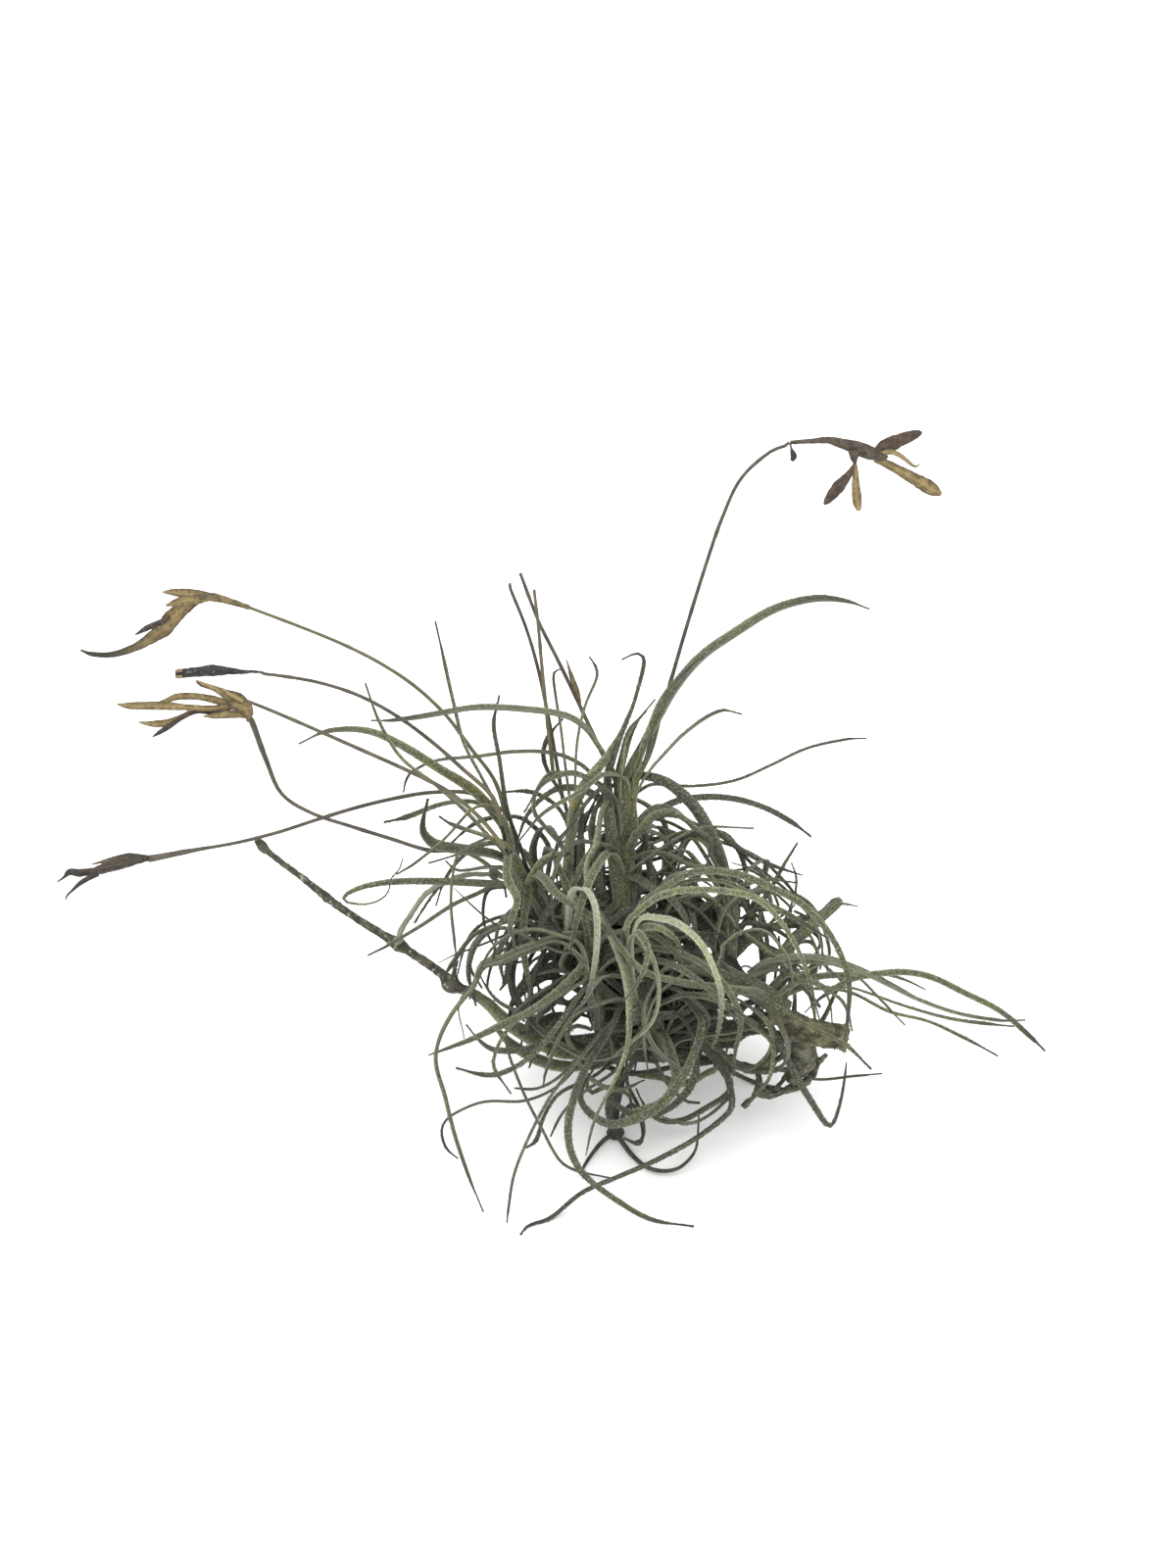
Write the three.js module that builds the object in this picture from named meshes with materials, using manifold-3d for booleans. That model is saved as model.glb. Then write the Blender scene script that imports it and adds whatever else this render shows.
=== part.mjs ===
// A clump of air plant on a piece of twig, lying on a flat surface.
//
// Every strand of the plant (leaf, stem, flower stalk, root, twig) is a tapered tube on a
// smooth path. The points of a path are given as [across, up] in the plane that faces a
// viewer who looks down at the clump by VIEW_TILT, with the depth towards that viewer
// named beside them. Millimetres, +Z up, origin under the foot of the clump.

import * as THREE from "three";
import { mergeVertices } from "three/addons/utils/BufferGeometryUtils.js";
import Module from "manifold-3d";

const wasm = await Module();
wasm.setup();

// ---------------------------------------------------------------- driving dimensions

const VIEW_TILT = THREE.MathUtils.degToRad(30);  // the viewer looks down by this angle
const VIEW_DISTANCE = 600;                       // from the viewer to the middle depth
const VIEW_CENTRE = { across: -8, up: 32 };      // where the viewer's eye is aimed
const FOOT = { across: -2.4, up: -40, depth: -10.7 };  // underside of the foot

const LEAF_WIDTH = 2.4;        // a strong leaf at its sheath
const LEAF_TIP_RADIUS = 0.4;   // last ring before the point
const LEAF_STEP = 8;           // longest facet along a leaf
const LEAF_TURN = THREE.MathUtils.degToRad(26);  // most that a leaf turns in one facet
const LEAF_GIRTH = 0.55;       // corner radius of a three-sided leaf, as a share of its width
const LEAF_SIDES = 3;
const TIP_LENGTH = 1.6;        // the point itself, at least

const SHORTEST_STEP = 2.2;
const STEM_STEP = 7;
const STEM_SIDES = 6;
const STALK_RADIUS = 0.5;
const STALK_STEP = 8;
const STALK_SIDES = 4;
const VALVE_SIDES = 4;

const TWIG_RADIUS = 0.75;
const TWIG_SIDES = 6;
const BARK_RADIUS = 2.9;
const BARK_SIDES = 8;
const BARK_STEP = 4;
const ROOT_RADIUS = 0.75;
const ROOT_SIDES = 4;
const ROOT_HUB_RADIUS = 3.6;
const FOOT_RADIUS = 1.0;
const WISP_WIDTH = 1.5;        // a thin root that curls from the foot
const KNOT_RADIUS = 2;
const KNOT_FLAT = 0.6;         // how much of the knot the flat underside takes

const CLEARANCE = 0.4;         // kept between pieces

const COLOURS = {
  leaf: 0x6f7659, paleLeaf: 0x9aa17f, darkLeaf: 0x555a48, stalk: 0x6a6650,
  straw: 0xa8935f, darkCapsule: 0x4a443a, twig: 0x8c887c, bark: 0x6b6450,
  root: 0x4a4338, foot: 0x453f36,
};

// ---------------------------------------------------------------- seeded random draws

function seededRandom(seed) {
  let state = seed;
  return () => {
    state = (state + 0x6d2b79f5) | 0;
    let mixed = Math.imul(state ^ (state >>> 15), 1 | state);
    mixed = (mixed + Math.imul(mixed ^ (mixed >>> 7), 61 | mixed)) ^ mixed;
    return ((mixed ^ (mixed >>> 14)) >>> 0) / 4294967296;
  };
}

const random = seededRandom(4242);
const between = (low, high) => low + (high - low) * random();

// ---------------------------------------------------------------- the viewer's frame

const UP = new THREE.Vector3(0, Math.sin(VIEW_TILT), Math.cos(VIEW_TILT));
const TOWARDS = new THREE.Vector3(0, -Math.cos(VIEW_TILT), Math.sin(VIEW_TILT));
const ACROSS = new THREE.Vector3(1, 0, 0);

const STANDS_FROM = 14;   // above this height in view, the plant stands up off its own slope
const STANDS_BY = 0.42;   // depth gained for each millimetre of height there

function standing(up) {
  return up > STANDS_FROM ? (up - STANDS_FROM) * STANDS_BY : 0;
}

function viewPoint(across, up, depth) {
  const nearer = 1 - depth / VIEW_DISTANCE;
  const shownAcross = VIEW_CENTRE.across + (across - VIEW_CENTRE.across) * nearer;
  const shownUp = VIEW_CENTRE.up + (up - VIEW_CENTRE.up) * nearer;
  return new THREE.Vector3()
    .addScaledVector(ACROSS, shownAcross)
    .addScaledVector(UP, shownUp)
    .addScaledVector(TOWARDS, depth);
}

const ORIGIN = viewPoint(FOOT.across, FOOT.up, FOOT.depth);

function place(across, up, depth) {
  return viewPoint(across, up, depth + standing(up)).sub(ORIGIN);
}

// The depth at which a point seen at this height lies on the floor.
function floorDepth(up) {
  const drop = VIEW_CENTRE.up - up;
  const level = ORIGIN.z + LEAF_TIP_RADIUS - Math.cos(VIEW_TILT) * (VIEW_CENTRE.up - drop);
  return level / (Math.sin(VIEW_TILT) + (Math.cos(VIEW_TILT) * drop) / VIEW_DISTANCE);
}
const FLOOR = "floor";

// ---------------------------------------------------------------- strands

// A strand is a row of centre points with a radius at each, the node it is fused into,
// and how freely each of its points may be bent clear of its neighbours.
const strands = [];

const DRAWN_YIELDS = 0.3;   // a drawn strand gives way less than one grown by rule
const GROWN_YIELDS = 1;
const LEAF_ROOT_ZONE = 0.3; // leaves of one stem may touch along this share from their roots
const ROOT_ROOT_ZONE = 0.6; // and so may roots
const STEM_ZONE = 0.4;      // a leaf may touch its own stem along this share

function addStrand(node, points, radii, freedom, options = {}) {
  const usual = { sides: LEAF_SIDES, pointed: true, rootZone: 0, yields: DRAWN_YIELDS };
  const strand = { node, points, radii, freedom, ...usual, ...options };
  strands.push(strand);
  return strand;
}

const FINE_STEP = 0.6;

// Points along a smooth curve, no further apart than step, and closer where it turns.
function smoothPath(points, step) {
  const curve = new THREE.CatmullRomCurve3(points, false, "centripetal");
  const length = curve.getLength();
  curve.arcLengthDivisions = Math.ceil(length * 4);
  curve.updateArcLengths();
  const fine = curve.getSpacedPoints(Math.max(8, Math.round(length / FINE_STEP)));
  const picked = [fine[0]];
  let walked = 0;
  let turned = 0;
  for (let i = 1; i < fine.length - 1; i += 1) {
    const into = fine[i].clone().sub(fine[i - 1]);
    walked += into.length();
    turned += into.angleTo(fine[i + 1].clone().sub(fine[i]));
    const tight = turned > LEAF_TURN && walked > SHORTEST_STEP;
    const left = length * (1 - i / (fine.length - 1));
    if ((tight || walked > step) && left > SHORTEST_STEP) {
      picked.push(fine[i]);
      walked = 0;
      turned = 0;
    }
  }
  picked.push(fine[fine.length - 1]);
  return picked;
}

function spatial(path) {
  return path.map(([across, up, depth]) => place(across, up, depth));
}

// A leafy stem thins to its base, unless it is cut through there.
function addStem(node, path, radius, cut) {
  const topRadius = radius * 0.75;
  const points = smoothPath(spatial(path), STEM_STEP);
  const last = points.length - 1;
  const radii = points.map((_, i) => {
    const along = i / last;
    const thinned = cut ? 1 : Math.min(1, 0.5 + 1.25 * along);
    return thinned * THREE.MathUtils.lerp(radius, topRadius, along);
  });
  const freedom = points.map(() => 0);
  return addStrand(node, points, radii, freedom, { sides: STEM_SIDES, pointed: false, stem: true });
}

function nearestOnStem(stem, point) {
  let best = stem.points[0];
  for (let i = 1; i < stem.points.length; i += 1) {
    const candidate = new THREE.Vector3();
    new THREE.Line3(stem.points[i - 1], stem.points[i]).closestPointToPoint(point, true, candidate);
    if (candidate.distanceTo(point) < best.distanceTo(point)) {
      best = candidate;
    }
  }
  return best;
}

function leafRadii(points, width, tipRadius) {
  const last = points.length - 1;
  return points.map((_, i) => {
    const along = i / last;
    const swollen = 1.15 - 0.15 * Math.min(1, along * 5);
    return Math.max(tipRadius, width * LEAF_GIRTH * swollen * (1 - 0.85 * along ** 2));
  });
}

const ROOT_HOLD = 0.12;  // the part of a leaf by its root that isn't bent

function leafFreedom(points) {
  const last = points.length - 1;
  return points.map((_, i) => THREE.MathUtils.smoothstep(i / last, ROOT_HOLD * 0.5, ROOT_HOLD * 3));
}

// A leaf drawn by hand: path holds its [across, up] points from the root on, and the
// depth runs from the stem's own through middle to tip.
function addLeaf(stem, width, middle, tipDepth, path) {
  const last = path.length - 1;
  const tip = tipDepth === FLOOR ? floorDepth(path[last][1]) : tipDepth;
  const first = place(path[0][0], path[0][1], stem.depth);
  const points = [nearestOnStem(stem, first)];
  path.forEach(([across, up], i) => {
    const along = (i + 1) / (last + 1);
    const early = THREE.MathUtils.lerp(stem.depth, middle, Math.min(1, along * 2));
    const late = THREE.MathUtils.lerp(middle, tip, Math.max(0, along * 2 - 1));
    const depth = along < 0.5 ? early : late;
    const point = place(across, up, depth);
    if (i > 0 || point.distanceTo(points[0]) > LEAF_WIDTH) {
      points.push(point);
    }
  });
  const samples = smoothPath(points, LEAF_STEP);
  return addStrand(stem.node, samples, leafRadii(samples, width, LEAF_TIP_RADIUS), leafFreedom(samples), {
    rootZone: LEAF_ROOT_ZONE, stemOf: stem,
  });
}

// ---------------------------------------------------------------- leaves grown by rule

const CLUMP = { across: 1, up: -8, depth: -6, halfAcross: 43, halfUp: 37, halfDepth: 42 };

function insideClump(points) {
  const middle = place(CLUMP.across, CLUMP.up, CLUMP.depth);
  return points.every((point) => {
    const offset = point.clone().sub(middle);
    const reach = Math.hypot(
      offset.dot(ACROSS) / CLUMP.halfAcross,
      offset.dot(UP) / CLUMP.halfUp,
      offset.dot(TOWARDS) / CLUMP.halfDepth,
    );
    return reach < 1 && point.z > 0.5;
  });
}

function growLeaf(stem, reach) {
  const along = between(0.3, 1) * (stem.points.length - 1);
  const below = Math.min(stem.points.length - 2, Math.floor(along));
  const axis = stem.points[below + 1].clone().sub(stem.points[below]).normalize();
  const start = stem.points[below].clone().lerp(stem.points[below + 1], along - below);
  const sideways = new THREE.Vector3(between(-1, 1), between(-1, 1), between(-1, 1));
  const radial = sideways.sub(axis.clone().multiplyScalar(sideways.dot(axis))).normalize();
  const turning = new THREE.Vector3().crossVectors(axis, radial).normalize();
  const lean = THREE.MathUtils.degToRad(between(20, 65));
  const curl = THREE.MathUtils.degToRad(between(50, 190));
  const length = between(reach[0], reach[1]);
  const count = Math.round(length / LEAF_STEP);
  const heading = axis.clone().applyAxisAngle(turning, lean);
  const sway = between(-0.12, 0.12);
  const points = [start.clone()];
  for (let i = 0; i < count; i += 1) {
    const step = heading.clone().multiplyScalar(length / count);
    points.push(points[points.length - 1].clone().add(step));
    heading.applyAxisAngle(turning, curl / count);
    heading.applyAxisAngle(radial, sway);
  }
  return points;
}

const GROW_TRIES = 60;

function addGrownLeaves(stem, count, reach) {
  for (let i = 0; i < count; i += 1) {
    let points = growLeaf(stem, reach);
    for (let tries = 0; tries < GROW_TRIES && !insideClump(points); tries += 1) {
      points = growLeaf(stem, reach);
    }
    if (insideClump(points)) {
      const width = between(1.5, 2.2);
      addStrand(stem.node, points, leafRadii(points, width, LEAF_TIP_RADIUS), leafFreedom(points), {
        rootZone: LEAF_ROOT_ZONE, stemOf: stem, yields: GROWN_YIELDS,
      });
    }
  }
}

// ---------------------------------------------------------------- leafy stems

const colourOf = {};
const CUT_SHOOT = "shoot_right";  // carried on by the bark stub
const GROWN_REACH = [28, 60];     // shortest and longest leaf grown by rule

function addShoot(node, colour, radius, path, leaves, grown, reach = GROWN_REACH) {
  colourOf[node] = colour;
  const stem = addStem(node, path, radius, node === CUT_SHOOT);
  const middle = path[Math.floor(path.length / 2)];
  stem.depth = middle[2];
  leaves.forEach(([width, middleDepth, tipDepth, ...points]) => {
    addLeaf(stem, width, middleDepth, tipDepth, points);
  });
  addGrownLeaves(stem, grown, reach);
  return stem;
}

// Each leaf is [width, middle depth, tip depth, ...its points from the root on].

addShoot("shoot_upright", "leaf", 2.0, [[1, -8, 2], [0, 4, 4], [-0.8, 16, 4], [0, 29, 4]], [
  [3.0, 2, -6, [0, 30], [5, 43], [13, 55.5], [22, 62.5], [32, 68], [42, 69.8], [49.4, 67.8]],
  [1.4, 6, 8, [1, 28], [3, 38], [6, 47], [10, 53.6], [15.6, 58]],
  [1.0, 10, 14, [-2, 26], [-3, 37], [-0.6, 43.6], [2.4, 52.6], [3.2, 57.4], [1, 58.6], [-1.2, 57.2]],
  [1.2, 8, 6, [-1, 30], [-0.6, 41], [3, 46.5], [5.6, 49.4]],
  [1.4, 8, 10, [1, 24], [5, 34.6], [10, 40.6], [16.4, 45.4], [19.4, 46.8], [23.4, 46]],
  [1.1, -4, -10, [0, 24], [4, 31.5], [10, 31.6], [18, 31.6], [26, 34.4], [36, 39], [42, 41], [48.8, 41.4]],
  [1.8, -6, -12, [0, 20], [8, 27.4], [15, 29.2], [22, 28.8], [30, 26.2], [37.4, 21.2]],
  [2.5, 8, 2, [0, 29], [4, 34], [8, 33], [14, 27.6], [18.4, 18.4], [21.6, 12]],
  [1.3, 12, 10, [0, 14], [6.4, 18], [12, 21.4], [18, 23.4], [25.8, 23]],
  [1.7, -2, -8, [0, 20], [4, 23.8], [12, 24.4], [20, 20.6], [29, 16], [35.6, 13.6]],
  [2.2, 12, 8, [0, 15], [6, 18.4], [12, 17.2], [18, 14.6], [22, 10.5], [25, 5]],
  [2.8, 8, 2, [-2, 26], [-4, 35], [-7, 42], [-13, 46], [-22, 47.3], [-32, 47.4], [-42, 45.9], [-52, 45.2]],
  [1.4, -4, -8, [-2, 26], [-8, 34], [-14, 37.6], [-22, 38.6], [-32, 37.4], [-40, 36.4], [-44.4, 34],
    [-45.6, 30.4]],
  [1.8, 12, 16, [-1, 30], [-4, 34.4], [-8, 31.5], [-14, 28], [-19, 24.4], [-22, 20]],
  [1.1, 0, 6, [0, 10], [8, 15], [14.4, 19.6], [19, 15], [21, 10]],
  [2.3, 6, 2, [-1, 25], [-2, 35], [0, 42], [4, 47]],
  [2.1, 12, 14, [0, 24], [3, 31], [8, 34], [14, 33], [18, 28]],
  [2.1, 10, 14, [-1, 24], [-5, 31], [-11, 34], [-17, 32], [-21, 26]],
  [2.3, 14, 20, [0, 16], [4, 24], [9, 26], [14, 22], [16, 14]],
  [2.0, -6, -10, [-1, 24], [-7, 30], [-14, 31], [-20, 26], [-23, 18]],
  [2.2, 14, 18, [-1, 14], [-6, 20], [-12, 19], [-15, 12], [-15, 4]],
], 3);

addShoot("shoot_upright_left", "leaf", 1.5,
  [[-9, -6, 4], [-11.4, 3, 6], [-11.4, 13, 6], [-9, 23, 5], [-5.4, 31, 3]], [
  [1.1, 0, 2, [-10, 24], [-11, 34], [-10, 42], [-8.4, 49], [-6.4, 54.5], [-8, 57.8]],
  [1.1, -2, -6, [-11, 18], [-12, 30], [-13.2, 40], [-14.8, 49], [-15, 55], [-13.4, 55.4]],
  [0.9, -4, -8, [-11, 20], [-13, 29], [-16, 34.5], [-17, 38.5], [-15.4, 42.6], [-13, 45.4]],
  [1.0, 4, 0, [-11, 18], [-19, 25.5], [-19, 30], [-16, 34], [-9.4, 34.4]],
  [1.0, -8, -12, [-10, 16], [-14, 27], [-20, 30.6], [-26, 30.4]],
  [2.6, 30, 16, [-7, 24], [-8.6, 15], [-7.2, 8], [-2.4, -3], [0.6, -12], [0.4, -20], [-3, -29.6],
    [-6.8, -37],
    [-8.4, -44]],
  [2.6, 30, 31, [-12.6, 0], [-12.2, 5.4], [-11, 9.6], [-9, 10.8], [-7.2, 8.4], [-6.5, 3], [-6.8, -4],
    [-8.6, -11.8]],
], 3);

addShoot("shoot_left", "leaf", 2.2, [[-14, -2, -2], [-16, 5, 0], [-20, 12, 2], [-22.6, 16, 4],
  [-24, 21, 4]], [
  [1.6, 4, 2, [-23, 20], [-25, 25.5], [-30, 34], [-34.4, 43], [-37, 55], [-39.6, 63], [-39.2, 65.2]],
  [1.1, 2, 4, [-23.6, 22], [-25.6, 35], [-27.2, 43.6], [-26, 50.2]],
  [1.6, 8, 10, [-24, 17], [-29, 22], [-37, 30.4], [-45, 36], [-49.6, 42.6], [-53.6, 52.4]],
  [2.3, 0, -6, [-23, 18], [-28, 27.5], [-36, 33.2], [-46, 39.6], [-54, 42.6], [-62, 42.2], [-67, 40]],
  [1.1, -4, -8, [-23, 21], [-29, 27.5], [-36, 28.4], [-43, 25.8], [-49.6, 24.2]],
  [1.9, 6, 4, [-24, 16.4], [-32, 18.4], [-39.4, 19.4], [-41.8, 22.8], [-40.8, 29]],
  [1.2, 12, 14, [-24, 18.4], [-30, 20.8], [-36, 23.6], [-38.2, 25.4]],
  [1.2, 10, 12, [-24, 20], [-27.4, 27], [-31, 27], [-36, 22], [-43, 15.8], [-47, 13.4]],
  [1.0, 14, 10, [-24, 18], [-29, 21], [-34.4, 17.6], [-36, 8], [-34.8, -3.2]],
  [1.9, 6, 10, [-21, 11], [-30, 11.7], [-42, 12.2], [-52, 11.2], [-58, 8], [-53, 7.2], [-48.8, 10.4],
    [-45.8, 17]],
  [1.1, -2, -2, [-23, 16], [-30, 17.6], [-36, 16.6], [-40.6, 15.4]],
  [1.3, 2, 0, [-22, 13.6], [-28, 15], [-35, 14.6], [-37, 16.4]],
  [1.7, 0, -4, [-20, 10.5], [-29, 10.4], [-37, 6.6], [-45, 1], [-52.8, -3]],
  [1.8, 8, 8, [-20, 11], [-21, 4], [-20.8, -4], [-18.6, -13]],
  [1.1, 12, 14, [-22, 12], [-25, 7], [-26.6, 1], [-27, -4]],
  [1.9, 0, -4, [-17, 5], [-24, 4], [-31, 1.4], [-37.6, -7.6]],
  [1.4, -6, -12, [-17, 3], [-23, 0], [-28.4, -5], [-32, -12]],
], 3);

addShoot("shoot_front", "paleLeaf", 2.2, [[2, -16, 14], [0, -8, 20], [-1, 2.4, 30]], [
  [2.1, 32, 22, [-1, 3], [5, 9], [12, 13.4], [21, 14], [31, 10], [39, 4.4], [44.4, -5], [45.2, -13],
    [44.4, -20]],
  [1.9, 36, 30, [0, 3], [6, 8.6], [15, 10.4], [25, 9], [32, 3], [37, -8], [39.2, -16.4]],
  [1.0, 28, 20, [0, 3], [10, 11.6], [20, 12], [28, 8], [35, 4.4], [41, 0.6]],
  [2.1, 42, 38, [-1, 2.4], [4, 4.8], [10, 3.8], [15, -0.6], [18.4, -8], [19.2, -16], [17.2, -22]],
  [1.6, 26, 24, [0, 1], [5, 3], [9, 1.2], [11.4, -3]],
  [1.9, 30, 26, [0, 1], [4, -1], [6.6, -9], [5, -17], [-3, -24]],
  [1.8, 38, 34, [0, 2], [4.4, -1], [3.6, -6], [-1, -12.6]],
], 0);

addShoot("shoot_low_left", "leaf", 2.0, [[-6, -18, 8], [-7, -8, 12], [-8, 0, 14]], [
  [2.4, 16, FLOOR, [-9, 0.4], [-16, 0], [-24, -3], [-31, -9], [-37, -17], [-39, -25], [-36, -34.6],
    [-34.2, -43],
    [-29.4, -55.2]],
  [2.3, 10, 6, [-9, -4], [-15, -10.8], [-24, -16], [-33, -21], [-40.6, -23.4]],
  [1.1, 20, 22, [-8, -8], [-15, -12], [-23, -17], [-27, -25], [-23.6, -31.2]],
  [1.7, 8, FLOOR, [-8, -6], [-17, -10], [-24.6, -18], [-23.4, -26], [-19, -35], [-13, -45.4], [-3, -48.4]],
  [2.2, 4, -2, [-8, -7], [-14, -12], [-21, -14.6], [-27, -12], [-30, -6]],
  [2.3, 2, -6, [-7, -11], [-13, -18], [-20, -22], [-28, -22], [-33, -17]],
  [2.2, 6, 2, [-7, -12], [-10, -19], [-9, -26], [-3, -30], [4, -29]],
  [1.5, 20, 14, [-8, -9], [-13, -16], [-20, -24], [-27, -27.5], [-35, -26]],
], 8);

addShoot("shoot_low", "leaf", 2.0, [[8, -24, 1], [6, -18, 4], [3, -11, 8]], [
  [2.4, 22, FLOOR, [2, -13], [-3, -18], [-9, -28], [-12, -38], [-10, -46], [0, -54.4], [7, -57.6],
    [13.8, -58.2]],
  [2.3, 18, 10, [9, -12], [15, -16], [12, -26], [6, -34], [-4, -37.2], [-9.4, -32], [-7, -25]],
  [1.1, 2, -2, [0, -19], [-8, -26], [-16, -34], [-18.4, -40.6], [-21.2, -42.4]],
  [1.1, 24, FLOOR, [1, -16], [-8, -23], [-15, -31], [-20.4, -41], [-23.4, -49], [-24.6, -57.4]],
  [2.4, 10, 6, [4, -17], [-1, -21], [-8, -23.5], [-16, -20], [-22, -13], [-24, -6]],
  [2.4, 12, 12, [4, -16], [8, -21], [10, -28], [7, -33], [1, -34.5], [-5, -32]],
  [2.2, 4, 0, [5, -17], [12, -20], [20, -19], [27, -20], [33, -24]],
  [2.2, 16, 14, [3, -13], [-2, -12], [-9, -15], [-15, -22], [-17, -30]],
  [1.0, 6, 4, [0, -18], [-9, -26], [-19, -32.4], [-31, -33.4], [-37.6, -37.6], [-37, -42], [-34.4, -44.4]],
], 8);

addShoot("shoot_low_right", "leaf", 1.9, [[12, -17, 1], [17, -22, -2], [22, -27, -6]], [
  [1.7, 8, FLOOR, [15, -22], [20.4, -28], [21, -34], [14, -40], [3, -46], [-8, -50.6], [-15, -56],
    [-20.4, -58],
    [-21.8, -59.8]],
  [1.3, -10, -12, [20, -23], [30, -25], [37, -28], [45, -27.4], [52, -26.8]],
  [1.6, -8, -4, [18, -24], [18, -31], [12, -36], [6, -36], [2, -30]],
  [1.5, 12, 12, [14, -17], [22, -15], [28, -20], [29, -28], [24, -34]],
  [2.3, 2, 0, [14, -19], [19, -19.6], [26, -20], [33, -19.4], [38, -22]],
  [2.2, -4, -8, [18, -23], [23, -23.4], [29, -22], [33, -18], [34, -12]],
  [2.2, -2, -6, [16, -21], [11, -25], [4, -27], [-3, -26], [-9, -22]],
], 8);

addShoot("shoot_right", "leaf", 2.6, [[32, -13.9, 6], [28, -11, 8], [22, -8, 9], [16, -5, 10],
  [10, -3, 10]], [
  [1.7, 8, 2, [31, -13], [38, -11], [48, -7.6], [58, -6.4], [68, -10.4], [78, -15.6], [85.4, -22.6]],
  [1.7, 14, 10, [24, -8], [31, -3.8], [40, -4], [50, -7.6], [62, -13.4], [72, -16.4], [81.2, -16.2]],
  [0.9, 12, 12, [24, -8], [34, -7.6], [44, -9], [54, -12.6], [66, -15.6], [79, -17.6]],
  [1.2, 2, 0, [30, -13], [38, -13.4], [50, -13.8], [62, -16.8], [75.6, -23.6]],
  [0.9, 8, 8, [28, -11], [38, -5.6], [45, -6.4], [51, -11.4], [56.8, -17.2]],
  [1.0, 12, 14, [29, -12], [36, -17], [43, -20], [50, -26.2]],
  [1.0, 12, 12, [30, -12], [36, -8.4], [44, -12.6], [46, -18.4]],
  [1.5, -4, -12, [29, -12], [31, -19], [34.6, -28], [39, -36.6], [42, -37.4], [44, -31], [44.8, -24.6]],
  [2.5, 27, 34, [25, -10.6], [17, -9.8], [10, -8.4], [4, -6.6], [0, -3.6], [-3, 1], [-5.8, 6.6]],
  [1.6, 18, 16, [18, -6], [22, 1], [28, 2], [33, -4], [34, -12]],
], 3);

addShoot("shoot_right_upper", "leaf", 1.3, [[25, -8, -1], [29, -5, -2], [36, 1.6, -4], [43.6, 8.6, -6]], [
  [1.2, -2, 0, [40, 5], [44, 7.4], [47, 7]],
  [1.0, -4, 4, [36, 2], [38.6, 1], [39.6, -4]],
  [1.4, -10, -14, [30, -4], [36, -6], [41, -12], [42, -20]],
  [1.4, 2, 8, [34, 0], [30, 6], [24, 6], [20, 1]],
], 4, [20, 42]);

addShoot("shoot_right_middle", "leaf", 1.0, [[21, -4, -10], [25, 0, -10], [32, 3.6, -11], [38, 5, -12],
  [43, 7, -13]], [
  [1.2, -10, -8, [26, 1], [28, 9], [31.6, 15], [34.8, 20.2]],
  [1.2, -14, -12, [30, 3], [33.6, 8], [34.6, 12], [33.6, 16]],
  [1.4, -18, -22, [26, 0], [33, -4], [38, -12], [38, -21]],
], 4, [20, 42]);

addShoot("shoot_inner_right", "leaf", 1.5, [[20.5, -9, 2], [21, -2, 0], [21.6, 8, -1]], [
  [1.4, 0, 4, [21, 7], [19, 13], [14, 16.6], [9, 15]],
  [1.5, -4, -10, [21.6, 8], [25, 13.4], [31, 12.4], [36, 6], [38, -1]],
  [1.5, 6, 8, [21, 4], [16, 9], [10, 8], [7, 2]],
], 7, [24, 46]);

addShoot("shoot_back", "darkLeaf", 1.9, [[6, -2, -12], [8, 8, -16], [9, 16, -20]], [
  [1.6, -26, -30, [9, 15], [13, 24], [21, 26], [29, 22], [36, 14]],
  [1.4, -20, -26, [9, 16], [7, 25], [1, 29], [-7, 27], [-13, 20]],
  [1.2, -24, -22, [9, 16], [16, 20], [25, 18], [32, 12], [37, 6]],
  [1.6, -14, -14, [8, 12], [13, 21], [20, 21.6], [24, 15], [24.6, 6]],
], 8);

addShoot("shoot_back_left", "darkLeaf", 1.8, [[-10, -6, -14], [-14, 2, -20], [-18, 9, -24]], [
  [1.5, -26, -30, [-18, 9], [-21, 18], [-29, 20], [-36, 15], [-39, 7]],
  [1.4, -18, -16, [-17, 8], [-16, 19], [-22, 25], [-31, 24], [-37, 19]],
  [1.6, -24, -28, [-16, 5], [-25, 6], [-32, 1], [-35, -8]],
], 8);

addShoot("shoot_back_right", "darkLeaf", 1.8, [[16, -8, -14], [20, -2, -21], [24, 3, -27]], [
  [1.5, -32, -34, [24, 3], [30, 10], [37, 8], [41, 0], [41, -9]],
  [1.5, -30, -38, [22, 1], [31, -3], [37, -11], [38, -20], [34, -27]],
], 8);

addShoot("shoot_back_low", "darkLeaf", 1.8, [[0, -17, -11], [0, -19, -20], [2, -20, -28]], [
  [1.7, -34, FLOOR, [2, -20], [8, -13], [16, -13], [21, -18], [20, -24]],
  [1.7, -38, FLOOR, [1, -19.6], [-6, -14], [-14, -13], [-20, -17], [-22, -23]],
  [1.5, -28, -24, [1, -20], [12, -22], [22, -27], [30, -30.4], [36, -30]],
], 8);

addShoot("shoot_core", "darkLeaf", 1.6, [[-5, -14, -4], [-3, -6, -7], [-2, 3, -10]], [
  [1.5, -8, -4, [-2, 2], [-7, 8], [-13, 8], [-17, 1], [-17, -8]],
  [1.5, -4, 0, [-3, -4], [-10, -2], [-15, -8], [-14, -17], [-8, -23]],
], 9, [24, 46]);

// ---------------------------------------------------------------- flower stalks

const STALK_GRIP = 0.55;  // beyond this share of its length a stalk isn't bent

function stalkFreedom(points) {
  const last = points.length - 1;
  return points.map((_, i) => {
    const along = i / last;
    const grown = THREE.MathUtils.smoothstep(along, 0, 0.15);
    return grown * (1 - THREE.MathUtils.smoothstep(along, STALK_GRIP - 0.2, STALK_GRIP));
  });
}

const YOUNG_TAPER = 0.8;    // a young stalk is thinner at its top

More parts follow.
